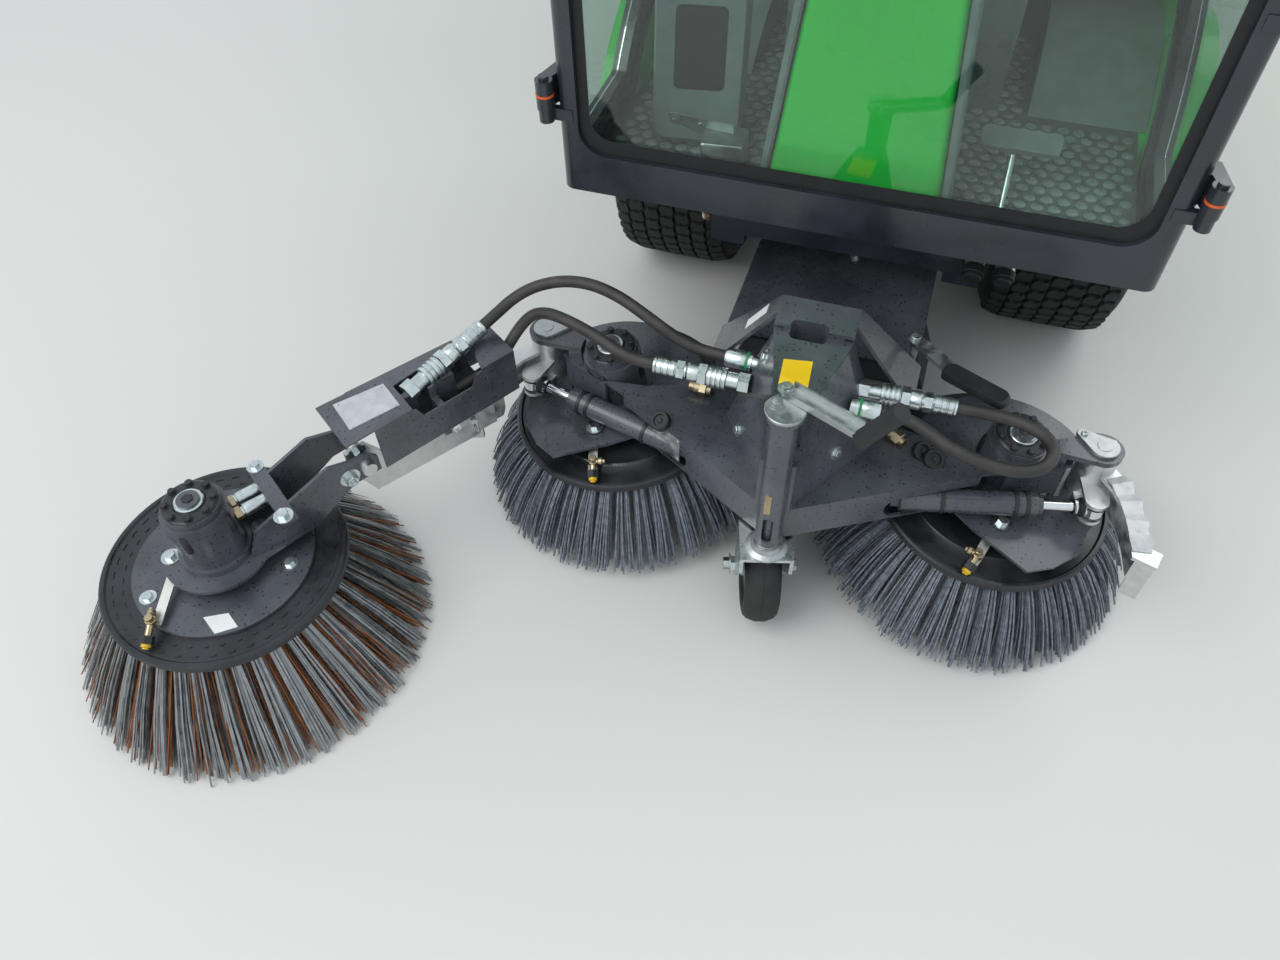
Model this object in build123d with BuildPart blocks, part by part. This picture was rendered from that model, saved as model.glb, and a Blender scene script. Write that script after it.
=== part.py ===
"""Compact articulated road sweeper with a three-brush sweeping head, in millimetres."""

import os
from math import atan2, cos, hypot, pi, radians, sin, sqrt, tan

from build123d import *

os.makedirs("parts", exist_ok=True)

# Places are measured from the jack castor's swivel on the ground: x to the machine's left side,
# y to its rear and z up. The machine faces -y. Its own origin is the middle of its floor plan.
head_x, head_y = 268, -1092

plate = 6  # thickness of the sweeping head's cut plates
running = 0.1  # radial clearance of a shaft in its bore
seat_gap = 0.3  # clearance between pieces that lie on each other
moving_gap = 6  # clearance between pieces that move past each other

# Wheels and axles
tyre_r, tyre_w = 292, 267
rim_r = 152
wheel_x = 401.5  # middle of each wheel from the centre line
front_axle_y, wheel_base = 1040, 1150
spindle_r = 35
drum_r = 90
arch_r, arch_skin = 345, 8
arch_crescent_r = 455

# Centre pivot
pivot_y = 1600
steer_gap = 30  # from the pivot to each end of the two half machines
steer_taper = 20  # degrees that each facing end slopes away
steer_pin_r = 20
duct_r = 90
duct_z = 360

# Cab
cab_half = 472
cab_corner_r = 20
cab_front_y = 390
cab_floor_z = 545
cab_top_z = 1880
cab_wall = 35
screen_bend_z, screen_top_z, screen_run = 1050, 1890, 50  # the screen leans back above the bend
screen_half, screen_low, screen_high = cab_half - 35, 615, 1790
screen_slope = screen_run / (screen_top_z - screen_bend_z)
door_front_y, door_rear_y = 402, 1120
door_low, door_high = 578, 1800
door_gap = 5
door_thick = 30
door_hinge_x, door_hinge_y = cab_half + 14, cab_front_y - 6
hinge_zs = (715, 985)
hinge_pin_r = 8
glass_thick = 6

# Rear body
rear_end_y = 2750
rear_axle_y = front_axle_y + wheel_base
fender_out = wheel_x + tyre_w / 2 + 10
cover_low, cover_top = 330, 880
hopper_low, hopper_top = 900, 1600
hopper_wall = 5
lid_thick = 40

# Sweeping head
lift_y, lift_z = 720, 330
beam_top = 300
pin_x, pin_y, pin_r = 475, 269, 12
boss_r = 30
boss_low, boss_high = 231.5, 317.5
lug_thick = 10
swing_z = 255
barrel_in, barrel_out = (186, 134), (396, 185)
barrel_r, rod_r = 20, 8.5
rod_end = (484, 206)
eye_r = 17

# Brushes
main_plate = (336, 265, 185)  # middle of the left main brush's plate
main_lean = (14, -12, 159)  # its shaft's direction
main_tip_r = 288
plate_r, plate_thick = 200, 14
tip_clear = 2  # tips clear of the ground with the head on its castor
third_reach = 657
third_heading = -124.3  # degrees from +x to the third brush, seen from above
third_plate_z = 190
third_tip_r = 310
motor_r = 51

# Jack castor
castor_wheel_r, castor_wheel_w = 100, 64
castor_trail = 48
castor_turn = 16
castor_pin_r = 10
post_r = 21
post_low, post_top = 246, 534
stem_r = 20


def spot(x, y, z=0.0):
    """A point of the machine."""
    return (head_x + x, head_y + y, z)


def level(z):
    """Horizontal plane at height z: x across, y to the rear."""
    return Plane(spot(0, 0, z))


def frontal(y):
    """Upright plane across the machine: x across, z up. It extrudes forward."""
    return Plane(spot(0, y), x_dir=(1, 0, 0), z_dir=(0, -1, 0))


def flank(x):
    """Upright plane along the machine: y to the rear, z up. It extrudes to the left side."""
    return Plane(spot(x, 0), x_dir=(0, 1, 0), z_dir=(1, 0, 0))


def shaft_plane(base, direction, sideways=(1, 0, 0)):
    """Plane at a point of the machine whose normal is the direction."""
    return Plane(spot(*base), x_dir=sideways, z_dir=direction)


on_base = (Align.CENTER, Align.CENTER, Align.MIN)
slope = tan(radians(steer_taper))


def clear_of_pivot(sign, reach, width=700):
    """Outline of the ground that one half machine may cover: sign -1 in front of the pivot, 1 behind."""
    start = pivot_y + sign * steer_gap
    return [
        (0, start),
        (width, start + sign * slope * width),
        (width, start + sign * reach),
        (-width, start + sign * reach),
        (-width, start + sign * slope * width),
    ]


# Wheels: a tyre and its rim, turned about the axle
tyre_in = rim_r + 2 + seat_gap
shoulder = 45
tyre_half = tyre_w / 2
wheels = [
    # name, side, y
    ("front_left", 1, front_axle_y),
    ("front_right", -1, front_axle_y),
    ("rear_left", 1, rear_axle_y),
    ("rear_right", -1, rear_axle_y),
]
hub_out = 22  # outer face of the wheel's disc from the wheel's middle
for name, side, y in wheels:
    axle = Plane(spot(side * wheel_x, y, tyre_r), x_dir=(0, 0, 1), z_dir=(side, 0, 0))
    with BuildPart(axle) as tyre:
        with BuildSketch(Plane(axle.origin, x_dir=axle.x_dir, z_dir=-axle.y_dir)):
            with BuildLine():
                Polyline(
                    (tyre_in, -tyre_half + 38),
                    (tyre_in + 20, -tyre_half + 14),
                    (tyre_r - shoulder - 15, -tyre_half),
                    (tyre_r - 14, -tyre_half + 10),
                    (tyre_r, -tyre_half + shoulder),
                    (tyre_r, tyre_half - shoulder),
                    (tyre_r - 14, tyre_half - 10),
                    (tyre_r - shoulder - 15, tyre_half),
                    (tyre_in + 20, tyre_half - 14),
                    (tyre_in, tyre_half - 38),
                    close=True,
                )
            make_face()
        revolve(axis=Axis(axle.origin, axle.z_dir))
    tyre.part.label = f"tyre_{name}"
    export_step(tyre.part, f"parts/tyre_{name}.step")

    with BuildPart(axle) as rim:
        with BuildSketch(Plane(axle.origin, x_dir=axle.x_dir, z_dir=-axle.y_dir)):
            with BuildLine():
                Polyline(
                    (spindle_r + running, -22),
                    (spindle_r + 25, -22),
                    (spindle_r + 40, hub_out - 12),
                    (rim_r - 30, hub_out - 12),
                    (rim_r - 10, -tyre_half + 40),
                    (rim_r - 10, -tyre_half + 22),
                    (rim_r + 12, -tyre_half + 22),
                    (rim_r + 12, -tyre_half + 24),
                    (rim_r + 2, -tyre_half + 36),
                    (rim_r + 2, tyre_half - 36),
                    (rim_r + 12, tyre_half - 24),
                    (rim_r + 12, tyre_half - 22),
                    (rim_r - 6, tyre_half - 22),
                    (rim_r - 14, tyre_half - 60),
                    (rim_r - 24, hub_out),
                    (spindle_r + running, hub_out),
                    close=True,
                )
            make_face()
        revolve(axis=Axis(axle.origin, axle.z_dir))
        with BuildSketch(axle.offset(hub_out)):
            with PolarLocations(spindle_r + 50, 6):
                Circle(11)
        extrude(amount=-60, mode=Mode.SUBTRACT)
    rim.part.label = f"rim_{name}"
    export_step(rim.part, f"parts/rim_{name}.step")

# Axles: a low cross beam, two wheel motors with their spindles and the plates up to the rails
rail_in, rail_out = 170, 230
rail_low, rail_top = 440, 530
axle_low, axle_high = 175, 245
drum_end = wheel_x - tyre_half - moving_gap
for name, y in (("front_axle", front_axle_y), ("rear_axle", rear_axle_y)):
    with BuildPart(level(0)) as axle_unit:
        with BuildSketch(level(axle_low)):
            with Locations((0, y)):
                RectangleRounded(2 * rail_out + 20, 90, 12)
        extrude(amount=axle_high - axle_low)
        for side in (1, -1):
            with BuildSketch(flank(side * rail_in)):
                with Locations((y, (axle_low + rail_low) / 2)):
                    Rectangle(110, rail_low - seat_gap - axle_low - 20)
                    with Locations((0, (rail_low - axle_low) / 2 - 20)):
                        Rectangle(110, 40 - 2 * seat_gap)
            extrude(amount=side * (rail_out - rail_in))
            with BuildSketch(flank(side * rail_in)):
                with Locations((y, tyre_r)):
                    Circle(drum_r)
            extrude(amount=side * (drum_end - rail_in))
            with BuildSketch(flank(side * (drum_end - 1))):
                with Locations((y, tyre_r)):
                    Circle(spindle_r)
            extrude(amount=side * (wheel_x + hub_out + 18 - drum_end))
    axle_unit.part.label = name
    export_step(axle_unit.part, f"parts/{name}.step")

# Chassis of each half: two rails, cross members, and the yoke plates down to the lower pivot lug
lug_r = 62
lower_lug = 182
upper_lug = rail_top - 20
yoke_in, yoke_out = 112, 136
halves = [
    # name, sign from the pivot, far end of the rails, lower lug's height, upper lug's height
    ("front_chassis", -1, pivot_y - cab_front_y - 70, lower_lug, upper_lug),
    ("rear_chassis", 1, rear_end_y - pivot_y - 36 - seat_gap, lower_lug + 30, upper_lug - 30),
]
for name, sign, far, lug_z, top_z in halves:
    with BuildPart(level(0)) as chassis:
        for side in (1, -1):
            near = steer_gap + slope * rail_out + 35
            rail = far - near
            with Locations((side * (rail_in + rail_out) / 2, pivot_y + sign * (near + rail / 2), rail_low)):
                Box(rail_out - rail_in, rail, rail_top - rail_low, align=on_base)
        for reach, deep in ((far - 30, 60), (150, 60)):
            with Locations((0, pivot_y + sign * reach, rail_low + 20)):
                Box(2 * rail_in + 2, deep, rail_top - rail_low - 20, align=on_base)
        for side in (1, -1):
            with Locations((side * (yoke_in + yoke_out) / 2, pivot_y + sign * 150, lug_z)):
                Box(yoke_out - yoke_in, 60, rail_low + 30 - lug_z, align=on_base)
        for z in (lug_z, top_z):
            with BuildSketch(level(z)):
                with Locations((0, pivot_y)):
                    Circle(lug_r)
                with Locations((0, pivot_y + sign * 90)):
                    Rectangle(2 * lug_r, 180)
                with Locations((0, pivot_y + sign * 150)):
                    Rectangle(2 * yoke_out, 60)
            extrude(amount=20)
        for z, pin_from, pin_to in ((lug_z, -1, 58), (top_z, -56, 21)):
            with BuildSketch(level(z + pin_from)):
                with Locations((0, pivot_y)):
                    Circle(steer_pin_r if sign < 0 else steer_pin_r + running)
            if sign < 0:
                extrude(amount=pin_to - pin_from)
            else:
                extrude(amount=22 + 60, mode=Mode.SUBTRACT)
        if sign < 0:
            with BuildSketch(level(rail_top)):
                for side in (1, -1):
                    with Locations((side * 200, cab_front_y + 170), (side * 200, pivot_y - 200)):
                        Circle(26)
            extrude(amount=cab_floor_z - seat_gap - rail_top)
            for side in (1, -1):
                with BuildSketch(flank(side * rail_in)):
                    with BuildLine():
                        Polyline(
                            (lift_y - 45, rail_low + 10),
                            (lift_y - 45, lift_z - 20),
                            (lift_y - 15, lift_z - 42),
                            (lift_y + 15, lift_z - 42),
                            (lift_y + 45, lift_z - 20),
                            (lift_y + 45, rail_low + 10),
                            close=True,
                        )
                    make_face()
                extrude(amount=side * 20)
                with BuildSketch(flank(side * (rail_in + 1))):
                    with Locations((lift_y, lift_z)):
                        Circle(14)
                extrude(amount=-side * 22)
    chassis.part.label = name
    export_step(chassis.part, f"parts/{name}.step")

# Cab: its body is one plan shape, drawn at several depths under its skin
door_arc_r = arch_crescent_r + 20


def cab_block(inset, floor=cab_floor_z, top=cab_top_z):
    """Solid of the cab, the inset deep under its skin on every side but the floor."""
    with BuildPart(level(0)) as block:
        with BuildSketch(level(floor)):
            with BuildLine():
                Polyline(
                    (-cab_half + inset, cab_front_y + inset),
                    (cab_half - inset, cab_front_y + inset),
                    (cab_half - inset, pivot_y - steer_gap - inset - slope * (cab_half - inset)),
                    (0, pivot_y - steer_gap - inset),
                    (-cab_half + inset, pivot_y - steer_gap - inset - slope * (cab_half - inset)),
                    close=True,
                )
            make_face()
            fillet(vertices().group_by(Axis.Y)[0], radius=max(cab_corner_r - inset, 3))
        extrude(amount=top - inset - floor)
        with BuildSketch(flank(-cab_half - 10)):
            with BuildLine():
                Polyline(
                    (cab_front_y - 100, screen_bend_z),
                    (cab_front_y + inset, screen_bend_z),
                    (cab_front_y + inset + screen_run, screen_top_z),
                    (cab_front_y - 100, screen_top_z),
                    close=True,
                )
            make_face()
        extrude(amount=2 * cab_half + 20, mode=Mode.SUBTRACT)
    return block.part


def door_face(inset):
    """Outline of a door opening on a flank plane, drawn in by the inset."""
    arc_low = front_axle_y - sqrt(door_arc_r**2 - (door_low - tyre_r) ** 2)
    arc_high = tyre_r + sqrt(door_arc_r**2 - (door_rear_y - front_axle_y) ** 2)
    half_way = atan2(arc_high - tyre_r, door_rear_y - front_axle_y) / 2
    half_way += atan2(door_low - tyre_r, arc_low - front_axle_y) / 2
    top_front = door_front_y + screen_slope * (door_high - screen_bend_z)
    arc_mid = (front_axle_y + door_arc_r * cos(half_way), tyre_r + door_arc_r * sin(half_way))
    with BuildSketch() as face:
        with BuildLine():
            Polyline(
                (arc_low, door_low),
                (door_front_y, door_low),
                (door_front_y, screen_bend_z),
                (top_front, door_high),
                (door_rear_y, door_high),
                (door_rear_y, arc_high),
            )
            ThreePointArc((door_rear_y, arc_high), arc_mid, (arc_low, door_low))
        make_face()
        if inset:
            offset(amount=-inset, kind=Kind.INTERSECTION)
        fillet(face.vertices(), radius=12)
    return face.sketch


window_z, window_high, window_r = 1330, 820, 45
rear_window = 2 * cab_half - 264
quarter_front = door_rear_y + 60
quarter_rear = pivot_y - steer_gap - slope * cab_half - 28
quarter_mid, quarter_long = (quarter_front + quarter_rear) / 2, quarter_rear - quarter_front
cab_outer = cab_block(0)
cab_inner = cab_block(cab_wall, floor=cab_floor_z - 1)
door_open = door_face(0)
with BuildPart() as cab_shell:
    add(cab_outer)
    with BuildSketch(frontal(cab_front_y + 150)):
        with Locations((0, (screen_low + screen_high) / 2)):
            RectangleRounded(2 * screen_half, screen_high - screen_low, window_r)
    extrude(amount=200, mode=Mode.SUBTRACT)
    with BuildSketch(frontal(pivot_y)):
        with Locations((0, window_z)):
            RectangleRounded(rear_window, window_high, window_r)
    extrude(amount=300, mode=Mode.SUBTRACT)
    add(cab_inner, mode=Mode.SUBTRACT)
    for side in (1, -1):
        with BuildSketch(flank(side * (cab_half + 10))):
            add(door_open)
            with Locations((quarter_mid, window_z)):
                RectangleRounded(quarter_long, window_high, window_r)
        extrude(amount=-side * 90, mode=Mode.SUBTRACT)
        with BuildSketch(flank(side * (cab_half + 10))):
            with Locations((front_axle_y, tyre_r)):
                Circle(arch_crescent_r + seat_gap)
        extrude(amount=-side * 90, mode=Mode.SUBTRACT)
        for z in hinge_zs:
            with BuildSketch(level(z - 45)):
                with Locations((side * door_hinge_x, door_hinge_y)):
                    Circle(12)
                with Locations((side * (door_hinge_x - 20), door_hinge_y + 10)):
                    Rectangle(44, 12)
            extrude(amount=20)
            with BuildSketch(level(z - 26)):
                with Locations((side * door_hinge_x, door_hinge_y)):
                    Circle(hinge_pin_r)
            extrude(amount=56)
cab_shell.part.label = "cab_shell"
export_step(cab_shell.part, "parts/cab_shell.step")

# Glass of the cab: screen, rear window and quarter windows, let into the shell
handle_z, handle_long = 1010, 170
pane_outer = cab_block(9)
pane_inner = cab_block(9 + glass_thick)
for side, name in ((1, "door_left"), (-1, "door_right")):
    frame_face = door_face(door_gap)
    pane_face = door_face(door_gap + 38)
    with BuildPart() as door:
        add(cab_outer)
        add(cab_block(door_thick), mode=Mode.SUBTRACT)
        with BuildSketch(flank(side * (cab_half + 10))):
            add(frame_face)
        extrude(amount=-side * (10 + door_thick), mode=Mode.INTERSECT)
        with BuildSketch(flank(side * (cab_half + 10))):
            add(pane_face)
        extrude(amount=-side * 70, mode=Mode.SUBTRACT)
        for z in hinge_zs:
            with BuildSketch(level(z - 24)):
                with Locations((side * door_hinge_x, door_hinge_y)):
                    Circle(14)
                with BuildLine():
                    Polyline(
                        (side * (door_hinge_x - 8), door_hinge_y + 8),
                        (side * (door_hinge_x + 12), door_hinge_y + 8),
                        (side * (cab_half + 14), door_front_y + 40),
                        (side * (cab_half - 6), door_front_y + 40),
                        (side * (cab_half - 6), door_front_y + door_gap),
                        (side * (cab_half + 1), door_front_y + door_gap),
                        close=True,
                    )
                make_face()
                with Locations((side * door_hinge_x, door_hinge_y)):
                    Circle(hinge_pin_r + running, mode=Mode.SUBTRACT)
            extrude(amount=48)
        for z in (handle_z - handle_long / 2 + 10, handle_z + handle_long / 2 - 10):
            with BuildSketch(flank(side * (cab_half - 2))):
                with Locations((door_rear_y - 22, z)):
                    RectangleRounded(16, 20, 4)
            extrude(amount=side * 24)
        with BuildSketch(flank(side * (cab_half + 18))):
            with Locations((door_rear_y - 22, handle_z)):
                SlotOverall(handle_long, 20, rotation=90)
        extrude(amount=side * 10)
    door.part.label = name
    export_step(door.part, f"parts/{name}.step")
    with BuildPart() as pane:
        add(pane_outer)
        add(pane_inner, mode=Mode.SUBTRACT)
        with BuildSketch(flank(side * (cab_half + 10))):
            add(door_face(door_gap + 38 + seat_gap))
        extrude(amount=-side * (10 + door_thick), mode=Mode.INTERSECT)
    pane.part.label = f"{name}_glass"
    export_step(pane.part, f"parts/{name}_glass.step")

with BuildPart() as screen_prism:
    with BuildSketch(frontal(cab_front_y + 150)):
        with Locations((0, (screen_low + screen_high) / 2)):
            RectangleRounded(2 * (screen_half - seat_gap), screen_high - screen_low - 2 * seat_gap, window_r)
    extrude(amount=200)
with BuildPart() as rear_prism:
    with BuildSketch(frontal(pivot_y)):
        with Locations((0, window_z)):
            RectangleRounded(rear_window - 2 * seat_gap, window_high - 2 * seat_gap, window_r)
    extrude(amount=300)
with BuildPart() as side_prism:
    for side in (1, -1):
        with BuildSketch(flank(side * (cab_half + 10))):
            with Locations((quarter_mid, window_z)):
                RectangleRounded(quarter_long - 2 * seat_gap, window_high - 2 * seat_gap, window_r)
        extrude(amount=-side * 60)
with BuildPart() as openings:
    add(screen_prism.part)
    add(rear_prism.part)
    add(side_prism.part)
with BuildPart() as cab_glass:
    add(pane_outer)
    add(pane_inner, mode=Mode.SUBTRACT)
    add(openings.part, mode=Mode.INTERSECT)
cab_glass.part.label = "cab_glass"
export_step(cab_glass.part, "parts/cab_glass.step")

# Roof cap with the beacon's foot
with BuildPart() as roof:
    with BuildSketch(level(cab_top_z + seat_gap)):
        with BuildLine():
            Polyline(
                (-cab_half - 8, cab_front_y + 20),
                (cab_half + 8, cab_front_y + 20),
                (cab_half + 8, pivot_y - steer_gap - slope * (cab_half + 8)),
                (0, pivot_y - steer_gap),
                (-cab_half - 8, pivot_y - steer_gap - slope * (cab_half + 8)),
                close=True,
            )
        make_face()
        fillet(vertices(), radius=50)
    extrude(amount=70)
    fillet(faces().sort_by(Axis.Z)[-1].edges(), radius=22)
roof.part.label = "roof"
export_step(roof.part, "parts/roof.step")

# Floor, cut round the wheel arches
arch_in = 255
floor_top = cab_floor_z + 15
past_cab, past_arch = 3 * cab_half, 2 * arch_crescent_r + 690  # widths that reach past the cab and the arches
with BuildPart() as cab_floor:
    add(cab_block(cab_wall + seat_gap, floor=cab_floor_z))
    with BuildSketch(level(floor_top)):
        with Locations((0, front_axle_y)):
            Rectangle(past_cab, past_arch)
    extrude(amount=cab_top_z, mode=Mode.SUBTRACT)
    for side in (1, -1):
        with BuildSketch(flank(side * (arch_in - 4))):
            with Locations((front_axle_y, tyre_r)):
                Circle(arch_r + arch_skin + seat_gap)
        extrude(amount=side * 300, mode=Mode.SUBTRACT)
cab_floor.part.label = "cab_floor"
export_step(cab_floor.part, "parts/cab_floor.step")

# Wheel arches of the cab: a band round each wheel, its inner wall and the crescent on the cab's side
with BuildPart() as front_arches:
    for side in (1, -1):
        for start, end, outer, inner in (
            (arch_in, fender_out, arch_r + arch_skin, arch_r),
            (cab_half - 24, cab_half, arch_crescent_r, arch_r),
            (arch_in, arch_in + 4, arch_r + arch_skin, 0),
        ):
            with BuildSketch(flank(side * start)):
                with Locations((front_axle_y, tyre_r)):
                    Circle(outer)
                    if inner:
                        Circle(inner, mode=Mode.SUBTRACT)
            extrude(amount=side * (end - start))
    with BuildSketch(level(0)):
        with Locations((0, front_axle_y)):
            Rectangle(past_cab, past_arch)
    extrude(amount=rail_low, mode=Mode.SUBTRACT)
    with BuildSketch(level(0)):
        Polygon(*clear_of_pivot(-1, past_cab), align=None)
    extrude(amount=cab_top_z, mode=Mode.INTERSECT)
    with Locations((0, front_axle_y, 0)):
        Box(2 * (arch_in - 0.01), 2 * arch_crescent_r, cab_floor_z, align=on_base, mode=Mode.SUBTRACT)
    with BuildSketch(level(0)):
        with Locations((0, front_axle_y)):
            Rectangle(2 * (arch_in + 4), past_arch)
    extrude(amount=cab_floor_z, mode=Mode.SUBTRACT)
front_arches.part.label = "front_arches"
export_step(front_arches.part, "parts/front_arches.step")

# Seat on its base, console, steering column
seat_y = 960
seat_base_high = 240
seat_low = floor_top + seat_base_high + 2 * seat_gap
with BuildPart(level(0)) as seat_base:
    with BuildSketch(level(floor_top + seat_gap)):
        with Locations((0, seat_y + 30)):
            RectangleRounded(400, 380, 40)
    extrude(amount=seat_base_high)
    fillet(faces().sort_by(Axis.Z)[-1].edges(), radius=14)
seat_base.part.label = "seat_base"
export_step(seat_base.part, "parts/seat_base.step")
with BuildPart(level(0)) as seat:
    with BuildSketch(flank(-230)):
        with BuildLine():
            Polyline(
                (seat_y - 200, seat_low),
                (seat_y - 220, seat_low + 50),
                (seat_y - 200, seat_low + 105),
                (seat_y + 130, seat_low + 90),
                (seat_y + 190, seat_low + 160),
                (seat_y + 250, seat_low + 620),
                (seat_y + 320, seat_low + 630),
                (seat_y + 330, seat_low + 580),
                (seat_y + 270, seat_low + 60),
                (seat_y + 230, seat_low),
                close=True,
            )
        make_face()
    extrude(amount=460)
    fillet(edges().filter_by(Axis.X), radius=15)
seat.part.label = "seat"
export_step(seat.part, "parts/seat.step")

console_top = floor_top + 330
console_y = cab_front_y + 150  # middle of the console's top
with BuildPart(level(0)) as console:
    with BuildSketch(level(floor_top + seat_gap)):
        with Locations((0, console_y - 50)):
            Rectangle(280, 110)
    with BuildSketch(level(console_top)):
        with Locations((0, console_y)):
            Rectangle(222, 90)
    loft()
    fillet(edges().filter_by(lambda e: abs(e.tangent_at(0.5).Z) > 0.9), radius=14)
console.part.label = "console"
export_step(console.part, "parts/console.step")
column = shaft_plane((0, console_y + 5, console_top + 10), (0, 0.42, 0.91))
with BuildPart(column) as steering_column:
    with BuildSketch(column.offset(-8)):
        RectangleRounded(110, 70, 20)
    extrude(amount=90)
    with BuildSketch(column.offset(75)):
        Circle(24)
    extrude(amount=90)
    with BuildSketch(column.offset(158)):
        Circle(38)
    extrude(amount=24)
    with BuildSketch(column.offset(162)):
        Rectangle(380, 26)
    extrude(amount=12)
    with BuildSketch(Plane(column.offset(168).origin, x_dir=column.x_dir, z_dir=column.y_dir)):
        with Locations((190, 0)):
            Circle(15)
    revolve(axis=Axis(column.origin, column.z_dir))
    with BuildSketch(level(console_top + seat_gap - 40)):
        with Locations((0, console_y)):
            Rectangle(300, 300)
    extrude(amount=40, mode=Mode.SUBTRACT)
steering_column.part.label = "steering_column"
export_step(steering_column.part, "parts/steering_column.step")

# Lamps: two head lamps under the roof's front, and the beacon
lamp_z = 1838
lamp_y = cab_front_y + screen_slope * (lamp_z - 28 - screen_bend_z) - seat_gap
with BuildPart(level(0)) as head_lamps:
    for side in (1, -1):
        with BuildSketch(frontal(lamp_y)):
            with Locations((side * 300, lamp_z)):
                RectangleRounded(130, 56, 12)
        extrude(amount=lamp_y - cab_front_y + 8)
    with BuildSketch(level(cab_top_z + 70 + 2 * seat_gap)):
        with Locations((0, 800)):
            Circle(62)
    extrude(amount=26)
    with BuildSketch(level(cab_top_z + 95)):
        with Locations((0, 800)):
            Circle(52)
    extrude(amount=90, taper=6)
head_lamps.part.label = "lamps"
export_step(head_lamps.part, "parts/lamps.step")

# Mirrors on arms from the front pillars
mirror_x, mirror_z, mirror_arm_r = cab_half - 18, 1640, 9
foot_y = cab_front_y + screen_slope * (mirror_z - mirror_arm_r - screen_bend_z) - seat_gap
with BuildPart(level(0)) as mirrors:
    for side in (1, -1):
        with BuildSketch(frontal(foot_y)):
            with Locations((side * mirror_x, mirror_z)):
                Circle(mirror_arm_r)
        extrude(amount=foot_y - cab_front_y + 50)
        with BuildSketch(flank(side * mirror_x)):
            with Locations((cab_front_y - 45, mirror_z)):
                Circle(mirror_arm_r)
        extrude(amount=side * 98)
        with BuildSketch(frontal(cab_front_y - 33)):
            with Locations((side * (cab_half + 85), mirror_z - 40)):
                RectangleRounded(120, 210, 25)
        extrude(amount=34)
mirrors.part.label = "mirrors"
export_step(mirrors.part, "parts/mirrors.step")

# Suction duct: the mouth behind the brushes, its hood and the pipe back to the pivot
mouth_front, mouth_rear = 625, 765
pipe_start, pipe_end = 640, pivot_y - 85
with BuildPart(level(0)) as suction_duct:
    with BuildSketch(level(25)):
        with Locations((0, (mouth_front + mouth_rear) / 2)):
            Rectangle(400, mouth_rear - mouth_front)
    with BuildSketch(level(duct_z - 70)):
        with Locations((0, (mouth_front + mouth_rear) / 2)):
            Rectangle(200, mouth_rear - mouth_front)
    loft()
    with BuildSketch(frontal(mouth_front)):
        with Locations((0, duct_z)):
            Circle(duct_r)
    extrude(amount=-(pipe_end - mouth_front))
    with BuildSketch(level(24)):
        with Locations((0, (mouth_front + mouth_rear) / 2)):
            Rectangle(388, mouth_rear - mouth_front - 12)
    with BuildSketch(level(duct_z - 60)):
        with Locations((0, (mouth_front + mouth_rear) / 2)):
            Rectangle(150, mouth_rear - mouth_front - 12)
    loft(mode=Mode.SUBTRACT)
    with BuildSketch(frontal(mouth_front + 6)):
        with Locations((0, duct_z)):
            Circle(duct_r - 5)
    extrude(amount=-(pipe_end - mouth_front), mode=Mode.SUBTRACT)
suction_duct.part.label = "suction_duct"
export_step(suction_duct.part, "parts/suction_duct.step")

# Rear riser: the pipe from the pivot to the hopper's floor
riser_y = 1920
riser_top = hopper_low - 8
with BuildPart() as riser_duct:
    for radius, mode in ((duct_r, Mode.ADD), (duct_r - 5, Mode.SUBTRACT)):
        with BuildSketch(frontal(pivot_y + 85)):
            with Locations((0, duct_z)):
                Circle(radius)
        extrude(amount=-(riser_y - pivot_y - 85), mode=mode)
        with BuildSketch(level(duct_z)):
            with Locations((0, riser_y)):
                Circle(radius)
        extrude(amount=riser_top - duct_z, mode=mode)
        with Locations(spot(0, riser_y, duct_z)):
            Sphere(radius, mode=mode)
riser_duct.part.label = "riser_duct"
export_step(riser_duct.part, "parts/riser_duct.step")

# Flexible duct across the pivot
with BuildPart() as pivot_hose:
    with BuildSketch(frontal(pipe_end + seat_gap)):
        with Locations((0, duct_z)):
            Circle(duct_r - 4)
            Circle(duct_r - 14, mode=Mode.SUBTRACT)
    extrude(amount=-(170 - 2 * seat_gap))
pivot_hose.part.label = "pivot_hose"
export_step(pivot_hose.part, "parts/pivot_hose.step")

# Engine as one block between the rails
engine_y = rear_axle_y + 180
with BuildPart(level(0)) as engine_block:
    with Locations((0, engine_y, cover_low)):
        Box(2 * (rail_in - moving_gap), 520, 490, align=on_base)
    with Locations((0, engine_y - 50, rail_low + 15), (0, engine_y + 190, rail_low + 15)):
        Box(2 * (rail_in - seat_gap), 60, 60, align=on_base)
engine_block.part.label = "engine_block"
export_step(engine_block.part, "parts/engine_block.step")

# Engine cover with the rear wheel arches and the bumper

def rear_block(inset, low, high, start):
    """Solid of the rear body between two heights, the inset deep under its skin."""
    with BuildPart(level(0)) as block:
        with BuildSketch(level(low)):
            with BuildLine():
                corner = max(start, pivot_y + steer_gap + slope * (cab_half - inset)) + inset
                Polyline(
                    (-cab_half + inset, rear_end_y - 30 - inset),
                    (cab_half - inset, rear_end_y - 30 - inset),
                    (cab_half - inset, corner),
                    (120, start + inset),
                    (-120, start + inset),
                    (-cab_half + inset, corner),
                    close=True,
                )
            make_face()
            fillet(vertices().group_by(Axis.Y)[-1], radius=max(60 - inset, 8))
        extrude(amount=high - low)
    return block.part


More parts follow.
